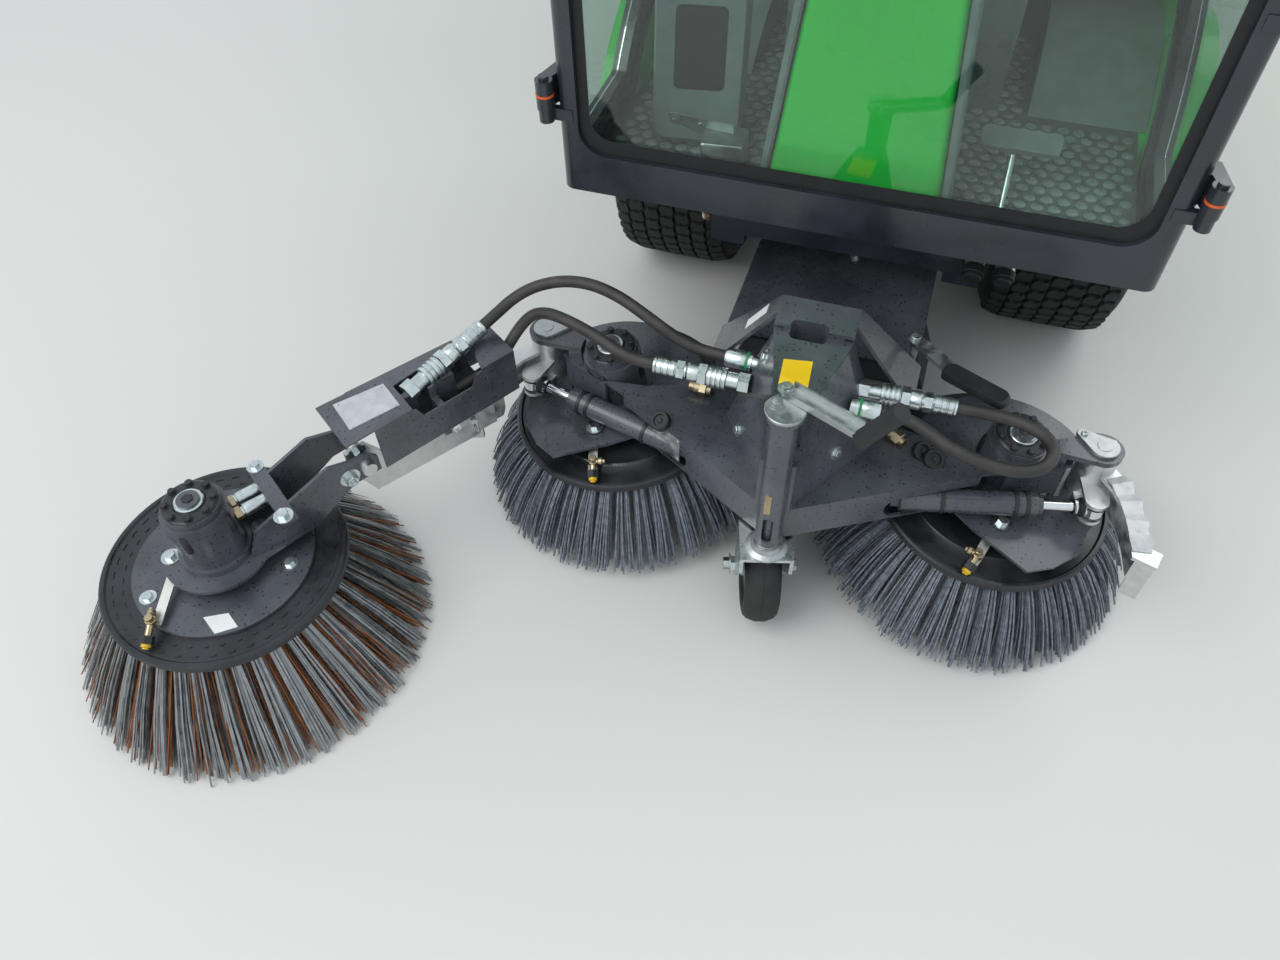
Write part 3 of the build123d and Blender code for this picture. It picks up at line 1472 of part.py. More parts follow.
lift_reach, arm_lift_z = 398, 300
bar_low, bar_high = 205, 280
side_plate_in, side_plate_out = -22, 56
for side, name in ((1, "bracket_left"), (-1, "bracket_right")):
    with BuildPart() as bracket:
        with BuildSketch(level(boss_low)):
            with Locations((side * pin_x, pin_y)):
                Circle(boss_r)
        extrude(amount=boss_high - boss_low)
        for points, low in ((spine, boss_low), (spine[-2:], hook_low)):
            with BuildSketch(level(low)):
                with BuildLine():
                    Polyline(*[(side * x, y) for x, y in points])
                trace(line_width=8)
            extrude(amount=flange_z + 1 - low)
        with BuildSketch(level(flange_z)):
            with BuildLine():
                Polyline(*[(side * x, y) for x, y in spine])
            trace(line_width=30)
        extrude(amount=7)
        for z in (swing_z - 22, swing_z + 15):
            with BuildSketch(level(z)):
                with BuildLine():
                    Polyline(
                        (side * (pin_x - 22), pin_y - 10),
                        (side * (rod_end[0] - 19), rod_end[1]),
                        (side * (rod_end[0] + 19), rod_end[1]),
                        (side * (pin_x + 26), pin_y - 10),
                        close=True,
                    )
                make_face()
                with Locations((side * rod_end[0], rod_end[1])):
                    Circle(19)
            extrude(amount=7)
        if side < 0:
            with BuildSketch(arm_side(arm_n)):
                with BuildLine():
                    Polyline(
                        (124, bar_low + 30),
                        (130, bar_low + 14),
                        (172, bar_low + 12),
                        (184, bar_low),
                        (lift_reach - 10, bar_low),
                        (lift_reach + 22, arm_lift_z - 26),
                        (lift_reach + 22, arm_lift_z + 18),
                        (lift_reach - 14, arm_lift_z + 20),
                        (lift_reach - 40, bar_high),
                        (124, bar_high),
                        close=True,
                    )
                make_face()
                with Locations((150, 246), (186, 246), (222, 246)):
                    Circle(9, mode=Mode.SUBTRACT)
            extrude(amount=10)
            with BuildSketch(arm_level(220)):
                with Locations((168, arm_n - 4)):
                    Rectangle(40, 20)
            extrude(amount=60)
            with BuildSketch(arm_side((side_plate_in + side_plate_out + plate) / 2)):
                with Locations((lift_reach, arm_lift_z)):
                    Circle(12)
            extrude(amount=(side_plate_out - side_plate_in) / 2 + plate + 6, both=True)
        with BuildSketch(level(boss_low - 1)):
            with Locations((side * pin_x, pin_y)):
                Circle(pin_r + running)
        extrude(amount=boss_high - boss_low + 2, mode=Mode.SUBTRACT)
    bracket.part.label = name
    export_step(bracket.part, f"parts/{name}.step")

# Folded cover over the bar, and its cross wall down to it
cover_in, cover_out, cover_start, cover_end = -30, 62, 102, lift_reach + 26
arm_cover_top = 380
cover_wall_end = lift_reach - 26
cover_wall_share = (cover_wall_end - cover_start) / (cover_end - cover_start)
slot_start, slot_end = 150, lift_reach - 96


def turned_steps(base, length, steps, gap=0.0):
    """Solid turned about a plane's axis from steps of (share of the length, radius), the gap larger."""
    with BuildPart() as turned:
        for (share, radius), (next_share, _) in zip(steps, steps[1:]):
            with BuildSketch(base.offset(share * length)):
                Circle(radius + gap)
            extrude(amount=(next_share - share) * length)
    return turned.part


arm_coupler_run = Vector(*along_arm(124, -3, 402)) - Vector(*along_arm(lift_reach - 107, 26, 372))
arm_coupler_base = shaft_plane(
    along_arm(lift_reach - 107, 26, 372), tuple(arm_coupler_run.normalized()), sideways=(0, 0, 1)
)
arm_coupler_steps = ((0, 15), (0.1, 16), (0.3, 18), (0.48, 16), (0.56, 13), (0.7, 15), (0.78, 13.5), (1, 13.5))
with BuildPart() as arm_cover:
    with BuildSketch(arm_level(arm_cover_top)):
        Polygon(
            (cover_start, cover_in + 2),
            (cover_end, cover_in),
            (cover_end, cover_out + 14),
            (cover_start, cover_out - 6),
            align=None,
        )
    extrude(amount=-plate / 2)
    for low_at, off_a, off_b in ((306, cover_in + 2, cover_in), (290, cover_out - 6, cover_out + 14)):
        with BuildSketch(arm_level(low_at)):
            with BuildLine():
                Line((cover_start, off_a), (cover_wall_end, off_a + (off_b - off_a) * cover_wall_share))
            trace(line_width=plate / 2)
        extrude(amount=arm_cover_top - low_at)
    with BuildSketch(arm_level(bar_high + seat_gap)):
        for reach, length in ((lift_reach - 166, 50), (lift_reach - 84, 70)):
            with Locations((reach, arm_n - 5)):
                Rectangle(length, 12)
        with Locations((lift_reach - 147, (arm_n + cover_out - 2) / 2)):
            Rectangle(12, cover_out - arm_n + 10)
    extrude(amount=arm_cover_top - 1 - bar_high)
    with BuildSketch(arm_level(arm_cover_top - plate)):
        Polygon(
            (slot_end, 4),
            (slot_end, cover_out + 20),
            (slot_start + 22, cover_out + 20),
            (slot_start + 10, 30),
            (slot_start, 14),
            (slot_start, cover_in + 8),
            (slot_start + 60, cover_in + 20),
            align=None,
        )
    extrude(amount=2 * plate, mode=Mode.SUBTRACT)
    with BuildSketch(arm_side(arm_n + 6)):
        Polygon(
            (slot_start + 22, arm_cover_top + 5),
            (slot_start + 40, arm_cover_top - 28),
            (slot_end - 18, arm_cover_top - 28),
            (slot_end, arm_cover_top + 5),
            align=None,
        )
    extrude(amount=-60, mode=Mode.SUBTRACT)
    add(turned_steps(arm_coupler_base, arm_coupler_run.length, arm_coupler_steps, seat_gap), mode=Mode.SUBTRACT)
arm_cover.part.label = "arm_cover"
export_step(arm_cover.part, "parts/arm_cover.step")

# Quick coupler in the cover's slot
with BuildPart() as arm_coupler:
    add(turned_steps(arm_coupler_base, arm_coupler_run.length, arm_coupler_steps))
arm_coupler.part.label = "arm_coupler"
export_step(arm_coupler.part, "parts/arm_coupler.step")

# Third arm: two side plates from the lift hinge, the tie bar across them, the motor's plate and motor
with BuildPart() as third_arm:
    for off in (side_plate_in, side_plate_out):
        with BuildSketch(arm_side(off)):
            with BuildLine():
                Polyline(
                    (lift_reach - 22, arm_lift_z - 26),
                    (lift_reach - 22, arm_lift_z + 6),
                    (lift_reach - 6, arm_lift_z + 22),
                    (lift_reach + 18, arm_lift_z + 22),
                    (lift_reach + 60, arm_lift_z + 34),
                    (third_reach - 60, 282),
                    (third_reach - 40, 240),
                    (third_reach - 40, 224),
                    (third_reach - 150, 224),
                    (lift_reach + 30, arm_lift_z - 30),
                    close=True,
                )
            make_face()
            with Locations((lift_reach, arm_lift_z)):
                Circle(12 + running, mode=Mode.SUBTRACT)
        extrude(amount=plate)
    with BuildSketch(arm_level(224)):
        with Locations((third_reach, 0)):
            Circle(86)
        with BuildLine():
            Polyline(
                (third_reach - 150, side_plate_in - 5),
                (third_reach, -60),
                (third_reach, 72),
                (third_reach - 150, side_plate_out),
                close=True,
            )
        make_face()
        with Locations((third_reach, 0)):
            Circle(14, mode=Mode.SUBTRACT)
    extrude(amount=plate)
    with BuildSketch(arm_side(-55)):
        with Locations((545, 300)):
            RectangleRounded(26, 12, 2)
    extrude(amount=-138)
    for radius, low, high in (
        (58, 229, 242),
        (motor_r, 229, 338),
        (motor_r - 6, 338, 350),
        (17.5, 350, 360),
    ):
        with BuildSketch(arm_level(low)):
            with Locations((third_reach, 0)):
                Circle(radius)
        extrude(amount=high - low)
    with BuildSketch(arm_level(third_plate_z - 14)):
        with Locations((third_reach, 0)):
            Circle(shaft_r)
    extrude(amount=60)
third_arm.part.label = "third_arm"
export_step(third_arm.part, "parts/third_arm.step")

# Hydraulic couplers on the tower's wings: two long and two short, turned from one table of steps
couplers = [
    # start, end, steps of (share of the length, radius)
    ((-84, 175, 398), (-242, 173, 398), ((0, 11), (0.1, 17), (0.36, 15), (0.5, 18), (0.72, 14), (0.84, 16), (1, 16))),
    ((82, 214, 398), (235, 219, 398), ((0, 11), (0.1, 17), (0.36, 15), (0.5, 18), (0.72, 14), (0.84, 16), (1, 16))),
    ((-80, 215, 405), (-134, 217, 405), ((0, 11), (0.25, 16), (0.8, 17), (1, 17))),
    ((78, 168, 405), (124, 168, 405), ((0, 11), (0.25, 16), (0.8, 17), (1, 17))),
]
with BuildPart() as couplings:
    for start, end, steps in couplers:
        run = Vector(*end) - Vector(*start)
        base = shaft_plane(start, tuple(run.normalized()), sideways=(0, 0, 1))
        add(turned_steps(base, run.length, steps))
    add(prow_outer, mode=Mode.SUBTRACT)
couplings.part.label = "couplers"
export_step(couplings.part, "parts/couplers.step")

# Hoses: routes chosen by hand, each drawn as straight runs with arcs between them
hoses = [
    # name, diameter, route
    (
        "hose_arm_upper",
        20,
        [
            (-134.3, 217, 405), (-168, 218.2, 405), (-203, 219, 412), (-240, 224, 428), (-284, 236, 445),
            (-331, 252, 456), (-383, 264, 459), (-434, 264, 453), (-479, 252, 440), (-512, 231, 423),
            (-531.8, 202.5, 408.6), (-547.2, 168.6, 402.1),
        ],
    ),
    (
        "hose_arm_lower",
        20,
        [
            (-242.3, 173, 398), (-274, 172.5, 398), (-308, 178, 404), (-340, 187, 414), (-376, 196, 422),
            (-412, 206, 424), (-448, 218, 418), (-478, 222, 402), (-500, 206, 376), (-515, 166.2, 347),
            (-539.3, 123.4, 333), (-567.3, 82.3, 333),
        ],
    ),
    (
        "hose_loop",
        20,
        [
            (235.3, 219, 398), (272, 220.2, 398), (310, 216, 402), (346, 205, 406), (374, 185, 408),
            (384, 156, 406), (370, 130, 400), (340, 118, 396), (304, 116, 396), (266, 122, 398),
            (230, 134, 400), (198, 152, 403), (164, 168, 405), (124.3, 168, 405),
        ],
    ),
]


def arc_radii(route):
    """Largest arcs that the runs of a route allow, one for each corner."""
    points = [Vector(*p) for p in route]
    radii = []
    for before, corner, after in zip(points, points[1:], points[2:]):
        turn_angle = radians((corner - before).get_angle(after - corner))
        shorter = min((corner - before).length, (after - corner).length)
        radii.append(0.45 * shorter / tan(turn_angle / 2))
    return radii


for name, diameter, route in hoses:
    radii = arc_radii(route)
    print(name, "radii", [round(r) for r in radii])
    with BuildPart() as hose:
        with BuildLine() as path:
            FilletPolyline(*[spot(*p) for p in route], radius=radii)
        with BuildSketch(Plane(path.line @ 0, z_dir=path.line % 0)):
            Circle(diameter / 2)
        sweep()
    length = sum(edge.length for edge in path.edges())
    share = hose.part.volume / (pi * diameter**2 / 4 * length)
    print(name, "length", round(length), "volume share", round(share, 4))
    hose.part.label = name
    export_step(hose.part, f"parts/{name}.step")
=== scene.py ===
import random
from math import asin, atan2, cos, exp, pi, radians, sin, sqrt

import bmesh
import bpy
from mathutils import Matrix, Vector


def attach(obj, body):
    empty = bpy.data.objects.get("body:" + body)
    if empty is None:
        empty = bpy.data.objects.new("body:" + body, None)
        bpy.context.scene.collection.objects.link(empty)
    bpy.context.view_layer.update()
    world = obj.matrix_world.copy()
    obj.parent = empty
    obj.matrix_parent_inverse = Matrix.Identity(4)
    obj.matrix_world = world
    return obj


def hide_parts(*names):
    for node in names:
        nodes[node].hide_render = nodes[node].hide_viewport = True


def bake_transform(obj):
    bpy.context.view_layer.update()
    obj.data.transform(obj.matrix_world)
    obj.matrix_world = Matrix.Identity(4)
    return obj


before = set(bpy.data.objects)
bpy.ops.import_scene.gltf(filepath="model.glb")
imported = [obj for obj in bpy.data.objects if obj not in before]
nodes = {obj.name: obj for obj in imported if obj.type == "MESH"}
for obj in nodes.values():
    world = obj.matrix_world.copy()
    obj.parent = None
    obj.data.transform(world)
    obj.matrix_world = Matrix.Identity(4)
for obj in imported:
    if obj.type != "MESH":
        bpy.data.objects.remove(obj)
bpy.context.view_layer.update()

print("frame loaded:", len(nodes), "nodes")

# Places are millimetres from the jack castor's swivel on the ground, as in the part's source
head = Vector((268, -1092, 0))
up = (0, 0, 1)


def at(x, y, z=0.0):
    return (Vector((x, y, z)) + head) / 1000


def linkPiece(name, data, body=None):
    piece = bpy.data.objects.new(name, data)
    bpy.context.scene.collection.objects.link(piece)
    if body:
        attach(piece, body)
    return piece


# Camera at the photograph's angle
photoCamera = {
    "place": (114.3, -917.1, 1528.0),
    "right": (0.9499, 0.312, -0.0199),
    "down": (0.2316, -0.7452, -0.6253),
    "forward": (-0.2099, 0.5893, -0.7801),
    "lens": 27.64,
    "sensor": 36,
    "nearest": 0.02,
    "farthest": 60,
}
cameraData = bpy.data.cameras.new("photoCamera")
cameraData.sensor_width = photoCamera["sensor"]
cameraData.lens = photoCamera["lens"]
cameraData.clip_start = photoCamera["nearest"]
cameraData.clip_end = photoCamera["farthest"]
cameraObject = linkPiece("photoCamera", cameraData)
axes = (Vector(photoCamera["right"]), -Vector(photoCamera["down"]), -Vector(photoCamera["forward"]))
turned = Matrix([axis.normalized() for axis in axes]).transposed()
cameraObject.matrix_world = Matrix.Translation(at(*photoCamera["place"])) @ turned.to_4x4()
bpy.context.scene.camera = cameraObject
bpy.context.scene.view_settings.view_transform = "Standard"
print("camera set")


# Materials
def toLinear(hexText):
    channels = [int(hexText[i : i + 2], 16) / 255 for i in (1, 3, 5)]
    return tuple(c / 12.92 if c <= 0.04045 else ((c + 0.055) / 1.055) ** 2.4 for c in channels) + (1.0,)


def addNode(tree, kind, settings=None, links=None):
    node = tree.nodes.new("ShaderNode" + kind)
    for key, value in (settings or {}).items():
        if isinstance(key, int) or key in node.inputs:
            node.inputs[key].default_value = value
        else:
            setattr(node, key, value)
    for key, source in (links or {}).items():
        tree.links.new(source, node.inputs[key])
    return node


def startMaterial(name, base, rough, **sockets):
    # A principled surface with its plain values; the caller adds the pattern
    made = bpy.data.materials.new(name)
    made.use_nodes = True
    tree = made.node_tree
    shader = tree.nodes["Principled BSDF"]
    shader.inputs["Base Color"].default_value = toLinear(base)
    shader.inputs["Roughness"].default_value = rough
    for key, value in sockets.items():
        shader.inputs[key.replace("_", " ")].default_value = value
    place = addNode(tree, "TexCoord").outputs["Object"]
    return made, tree, shader, place


def spread(tree, place, kind, sizeMm, **settings):
    # A texture of any kind whose pattern repeats about every sizeMm on the real object
    settings["Scale"] = 1000 / sizeMm
    return addNode(tree, kind, settings, {"Vector": place})


# The middle of a noise, which its values seldom leave
noiseMiddle = {"From Min": 0.35, "From Max": 0.65}


def clouded(name, base, lighter, rough, cloudMm, span, detail=4.0, blotch=0.5, **sockets):
    # A surface whose colour drifts in clouds about cloudMm across, and its gloss by span
    made, tree, shader, place = startMaterial(name, base, rough, **sockets)
    cloud = spread(tree, place, "TexNoise", cloudMm, Detail=detail, Roughness=blotch).outputs["Fac"]
    share = addNode(tree, "MapRange", noiseMiddle, {"Value": cloud}).outputs["Result"]
    shades = {"data_type": "RGBA", 6: toLinear(base), 7: toLinear(lighter)}
    skin = addNode(tree, "Mix", shades, {0: share})
    tree.links.new(skin.outputs[2], shader.inputs["Base Color"])
    if span:
        ends = {**noiseMiddle, "To Min": rough + span[0], "To Max": rough + span[1]}
        gloss = addNode(tree, "MapRange", ends, {"Value": cloud})
        tree.links.new(gloss.outputs["Result"], shader.inputs["Roughness"])
    return made, tree, shader, place


def embossed(tree, shader, place, kind, sizeMm, depthMm, strength, **settings):
    # A pattern that stands out of the skin
    pattern = spread(tree, place, kind, sizeMm, **settings).outputs["Fac"]
    bump = addNode(tree, "Bump", {"Distance": depthMm / 1000, "Strength": strength}, {"Height": pattern})
    tree.links.new(bump.outputs["Normal"], shader.inputs["Normal"])


# Beads of rain: a round dome in some of the cells, its radius a share of the cell, none in the others
rainLook = {"radius": 0.3, "rareFrom": 0.3, "rareTo": 0.55, "riseMm": 0.6, "strength": 0.6, "wet": "#17181B"}


def rainDrops(tree, shader, place, dropMm):
    cells = spread(tree, place, "TexVoronoi", dropMm, Randomness=1.0)
    falling = {"From Max": rainLook["radius"], "To Min": 1, "To Max": 0}
    dome = addNode(tree, "MapRange", falling, {"Value": cells.outputs["Distance"]})
    pick = addNode(tree, "SeparateColor", {}, {"Color": cells.outputs["Color"]})
    some = {"From Min": rainLook["rareFrom"], "From Max": rainLook["rareTo"]}
    chosen = addNode(tree, "MapRange", some, {"Value": pick.outputs["Red"]})
    factors = {0: dome.outputs["Result"], 1: chosen.outputs["Result"]}
    bead = addNode(tree, "Math", {"operation": "MULTIPLY"}, factors).outputs[0]
    links = {"Height": bead}
    if shader.inputs["Normal"].is_linked:
        links["Normal"] = shader.inputs["Normal"].links[0].from_socket
    depth = {"Distance": rainLook["riseMm"] / 1000, "Strength": rainLook["strength"]}
    bump = addNode(tree, "Bump", depth, links)
    tree.links.new(bump.outputs["Normal"], shader.inputs["Normal"])
    return bead


# Polyester powder coat, sprayed and baked: near black, a fine orange peel, here wet with rain
def powderCoat(name, base, lighter, dropMm=None):
    layer = {"Coat_Weight": 0.35, "Coat_Roughness": 0.15}
    made, tree, shader, place = clouded(name, base, lighter, 0.34, 140, (-0.14, 0.12), 5.0, 0.6, **layer)
    embossed(tree, shader, place, "TexNoise", 1.6, 0.12, 0.5, Detail=2.0)
    if dropMm:
        bead = rainDrops(tree, shader, place, dropMm)
        colour, rough = shader.inputs["Base Color"], shader.inputs["Roughness"]
        wetShare = addNode(tree, "MapRange", {"From Max": 0.5, "To Max": 0.8}, {"Value": bead})
        wet = {"data_type": "RGBA", 7: toLinear(rainLook["wet"])}
        links = {0: wetShare.outputs["Result"], 6: colour.links[0].from_socket}
        tree.links.new(addNode(tree, "Mix", wet, links).outputs[2], colour)
        smooth = {"operation": "MULTIPLY_ADD", "use_clamp": True, 1: -0.3}
        links = {0: bead, 2: rough.links[0].from_socket}
        tree.links.new(addNode(tree, "Math", smooth, links).outputs[0], rough)
    return made


wetBlackCoat = powderCoat("wetBlackPowderCoat", "#383B41", "#51545B", 8)
cabBlackCoat = powderCoat("cabBlackPowderCoat", "#202329", "#2A2E36")
greyCoat = powderCoat("greyPowderCoat", "#6C7276", "#7C8387")


# Two-pack enamel, sprayed: strong green, glossy under a clear layer, dusty in broad patches
def enamel(name, base, lighter, rough=0.28, coat=0.5):
    layer = {"Coat_Weight": coat, "Coat_Roughness": 0.06}
    made, *parts = clouded(name, base, lighter, rough, 260, (-0.06, 0.1), **layer)
    embossed(*parts, "TexNoise", 3, 0.08, 0.35, Detail=1.0)
    return made


greenEnamel = enamel("greenEnamel", "#17BE3B", "#22CC48")
whiteEnamel = enamel("whiteEnamel", "#D6D9D6", "#E0E2DF", 0.32, 0.35)
rimEnamel = enamel("rimEnamel", "#B9BDBE", "#C6C9C9", 0.36, 0.2)


# Metals: bright zinc plate, cast aluminium, hard chrome, brass, wire
def metal(name, base, lighter, rough, grainMm, grainDepth, metallic=1.0):
    span = (-0.25 * rough, 0.35 * rough)
    made, *parts = clouded(name, base, lighter, rough, 18, span, 6.0, 0.65, Metallic=metallic)
    embossed(*parts, "TexNoise", grainMm, grainDepth, 0.5, Detail=3.0)
    return made


zincPlate = metal("brightZincPlate", "#B9C3C4", "#DAE2E1", 0.3, 1.5, 0.05)  # bluish, clouded by the bath
wornZinc = metal("greyedZincPlate", "#9DA3A4", "#BEC3C1", 0.42, 1.5, 0.08)  # dulled, with brownish clouds
castAluminium = metal("castAluminium", "#C6C8C8", "#DCDDDB", 0.44, 2.2, 0.35)  # sand-cast skin
hardChrome = metal("hardChrome", "#CDD0D2", "#E2E3E4", 0.09, 6, 0.01)  # ground and plated rod
cleanBrass = metal("machinedBrass", "#A39274", "#C6B698", 0.3, 1.5, 0.03)  # nickelled, brass at its edges
flatWireSteel = metal("flatBrushWire", "#84878A", "#A6A9AA", 0.46, 5, 0.02)  # drawn flat wire, dull
rustyWire = metal("rustyBrushWire", "#6B3C1C", "#9A5B2B", 0.6, 3, 0.1, 0.25)  # rust, orange to brown
labelAluminium = metal("anodisedLabelPlate", "#C3C7C9", "#D3D6D7", 0.45, 0.8, 0.02)  # satin, no print
mirrorSilver = metal("silveredMirror", "#DADDDF", "#E4E6E7", 0.03, 60, 0.001)  # behind glass, flat
paleAluminium = metal("cutAluminiumStrip", "#C3C2BC", "#D5D3CD", 0.45, 1.2, 0.03)  # sheared, left raw
castIron = metal("paintedCastIron", "#3A3C3D", "#4A4C4C", 0.6, 3, 0.4, 0.4)  # rough under thin paint


# Plastics and rubbers, moulded: a dull skin with a fine grain
def moulded(name, base, lighter, rough, grainMm, grainDepth, cloudMm=40):
    made, *parts = clouded(name, base, lighter, rough, cloudMm, (-0.07, 0.07))
    embossed(*parts, "TexNoise", grainMm, grainDepth, 0.6, Detail=2.0)
    return made


blackAbs = moulded("blackAbs", "#1A1B1D", "#232527", 0.46, 1.1, 0.12)
greyAbs = moulded("greyAbs", "#828A8D", "#8F979A", 0.5, 1.1, 0.1)
consoleGrey = moulded("consoleGreyAbs", "#6B7476", "#788183", 0.45, 1.1, 0.1)
ductPolyethylene = moulded("ductPolyethylene", "#26282A", "#303335", 0.5, 4, 0.2)
tyreRubber = moulded("tyreRubber", "#1C1D1E", "#2B2B2A", 0.78, 2.0, 0.3)  # dusty from the road
solidRubber = moulded("solidRubber", "#161718", "#1F2021", 0.55, 2.0, 0.15)
wornRubber = moulded("wornSolidRubber", "#141516", "#2A2A29", 0.7, 3.0, 0.5, 25)  # scuffed by the asphalt
softRubber = moulded("sealRubber", "#0F1011", "#17181A", 0.6, 1.5, 0.1)
matRubber = moulded("floorMatRubber", "#474E50", "#5A6264", 0.45, 1.5, 0.1)
dotRubberPaintedSheen = moulded("floorDotRubberPaintedSheen", "#737B7E", "#868E90", 0.3, 1.5, 0.1)  # painted sheen: coloured paler than the mat to stand in for the gloss of the wet dots
brushNylon = moulded("brushPolypropylene", "#525962", "#7A818A", 0.4, 2.5, 0.02, 8)  # slate grey strands
yellowCap = moulded("yellowPolyamide", "#C9A313", "#D8B326", 0.42, 1.5, 0.03)
greenRing = moulded("greenPolyamide", "#12804A", "#1D9358", 0.42, 1.5, 0.03)
orangeRing = moulded("orangePolyamide", "#C9501A", "#D9622A", 0.45, 1.5, 0.03)
whiteSticker = moulded("whiteVinylSticker", "#D4D6D6", "#E0E2E1", 0.35, 6, 0.02)
yellowSticker = moulded("yellowVinylSticker", "#E3B90F", "#EDC620", 0.35, 6, 0.02)

# Glass-filled nylon in the rain: the same skin with beads of water on it, 10 mm apart
wetBlackAbs, *nylonParts = clouded("wetBlackNylon", "#1B1D21", "#282A2F", 0.42, 60, (-0.18, 0.08))
rainDrops(*nylonParts, 10)


# Rubber cured in a nylon wrap, which leaves a cross weave, drawn coarser than it is so that it shows
def wrapCured(name, base, lighter, wrapMm):
    made, *parts = clouded(name, base, lighter, 0.5, 30, None)
    weave = {"Distortion": 1.5, "Detail": 1.0, "bands_direction": "DIAGONAL"}
    embossed(*parts, "TexWave", wrapMm, 0.2, 0.5, **weave)
    return made


hoseRubber = wrapCured("wrapCuredHose", "#2A2827", "#393636", 2.4)
seatVinyl = wrapCured("seatVinyl", "#1C1D1F", "#27282A", 3.2)  # vinyl embossed like a weave, on foam


# Toughened glass, faint green, and moulded polycarbonate; a lamp's light passes straight through both
def paneGlass(name, tint, rough=0.0):
    made, tree, shader, _ = startMaterial(name, tint, rough, Transmission_Weight=1.0, IOR=1.5)
    lampRay = addNode(tree, "LightPath").outputs["Is Shadow Ray"]
    passing = addNode(tree, "BsdfTransparent", {"Color": toLinear(tint)})
    links = {0: lampRay, 1: shader.outputs["BSDF"], 2: passing.outputs["BSDF"]}
    both = addNode(tree, "MixShader", {}, links)
    tree.links.new(both.outputs["Shader"], tree.nodes["Material Output"].inputs["Surface"])
    return made


clearGlass = paneGlass("toughenedGlass", "#DCEBE4")
lensClear = paneGlass("clearPolycarbonate", "#F0F2F2", 0.15)
lensAmber = paneGlass("amberPolycarbonate", "#F08A12", 0.15)
tailLenses = {}
for word, tint in (("Red", "#B8140E"), ("Amber", "#E07C10"), ("Clear", "#D9DCDC")):
    sockets = {"Transmission_Weight": 0.2, "IOR": 1.58}
    tailLenses[word], *parts = startMaterial("tailLens" + word, tint, 0.12, **sockets)
    embossed(*parts, "TexWave", 6, 0.5, 0.5, bands_direction="X")

nodeFinish = {
    cabBlackCoat: "cab_shell door_left door_right front_chassis rear_chassis tip_brackets",
    wetBlackCoat: "beam tower hood jack_post brush_drives lift_arms arm_cover third_arm swing_barrels",
    greenEnamel: "console front_arches engine_cover hopper hopper_door",
    whiteEnamel: "roof",
    rimEnamel: "rim_front_left rim_front_right rim_rear_left rim_rear_right",
    greyCoat: "front_axle rear_axle seat_base",
    zincPlate: "hand_levers couplers arm_coupler castor_fork",
    castAluminium: "bracket_left bracket_right",
    hardChrome: "swing_rod_left swing_rod_right",
    clearGlass: "cab_glass door_left_glass door_right_glass",
    matRubber: "cab_floor",
    hoseRubber: "pivot_hose hose_arm_upper hose_arm_lower hose_loop",
    ductPolyethylene: "suction_duct riser_duct",
    castIron: "engine_block",
    tyreRubber: "tyre_front_left tyre_front_right tyre_rear_left tyre_rear_right",
    solidRubber: "castor_wheel",
    brushNylon: "brush_left brush_right brush_third",
    lensClear: "lamps",
    blackAbs: "tail_lamps mirrors steering_column",
    seatVinyl: "seat",
}
for finish, names in nodeFinish.items():
    for name in names.split():
        nodes[name].data.materials.clear()
        nodes[name].data.materials.append(finish)
print("materials set")


# Mesh helpers
def dressPiece(name, mesh, material, body, smoothAngle):
    # A mesh in the row frame becomes a piece that rides on a body
    mesh.materials.append(material)
    for face in mesh.polygons:
        face.use_smooth = True
    mesh.set_sharp_from_angle(angle=radians(smoothAngle))
    return linkPiece(name, mesh, body)


def makePiece(name, made, material, body, smoothAngle=35):
    mesh = bpy.data.meshes.new(name)
    bmesh.ops.recalc_face_normals(made, faces=made.faces)
    made.to_mesh(mesh)
    made.free()
    return dressPiece(name, mesh, material, body, smoothAngle)


def builtPiece(name, material, body, *forms, smoothAngle=35):
    # A piece of several forms, each told as its function and what that takes
    made = bmesh.new()
    for form, *facts in forms:
        form(made, *facts)
    return makePiece(name, made, material, body, smoothAngle)


def frameAt(place, direction=up, sideways=None):
    # A matrix at a place in millimetres, whose z runs along the direction
    z = Vector(direction).normalized()
    if sideways is None:
        sideways = (1, 0, 0) if abs(z.x) < 0.9 else (0, 1, 0)
    x = Vector(sideways)
    x = (x - z * x.dot(z)).normalized()
    turn = Matrix((x, z.cross(x), z)).transposed()
    return Matrix.Translation(at(*place)) @ turn.to_4x4()


def shifted(where, x, y, z=0.0):
    # The same directions, at a place in the matrix's own millimetres
    return where @ Matrix.Translation(Vector((x, y, z)) / 1000)


def roundAbout(where, radius, count, height):
    # Places evenly round the matrix's z
    turns = [2 * pi * (i + 0.5) / count for i in range(count)]
    return [shifted(where, radius * cos(a), radius * sin(a), height) for a in turns]


def ringOf(made, where, spots):
    return [made.verts.new(where @ (Vector(spot) / 1000)) for spot in spots]


def wallBetween(made, low, high):
    # Faces all round between two rings, either of which may be a single point
    count = max(len(low), len(high))
    for i in range(count if count > 1 else 0):
        j = (i + 1) % count
        corners = low[i % len(low)], low[j % len(low)], high[j % len(high)], high[i % len(high)]
        made.faces.new(list(dict.fromkeys(corners)))


def turnedForm(made, profile, where, steps, closed=False):
    # A profile of (radius, height) in millimetres, turned about the matrix's z
    rings = []
    for radius, height in profile:
        turns = [2 * pi * i / steps for i in range(steps if radius > 0 else 1)]
        rings.append(ringOf(made, where, [(radius * cos(a), radius * sin(a), height) for a in turns]))
    for low, high in zip(rings, rings[1:] + (rings[:1] if closed else [])):
        wallBetween(made, low, high)


def ringForm(made, profile, where, steps):
    # The same for a profile that closes on itself round an open middle
    turnedForm(made, profile, where, steps, closed=True)


def mirrored(profile):
    # The second half of a profile that is the same above and below its middle
    return profile + [(radius, -height) for radius, height in reversed(profile)]


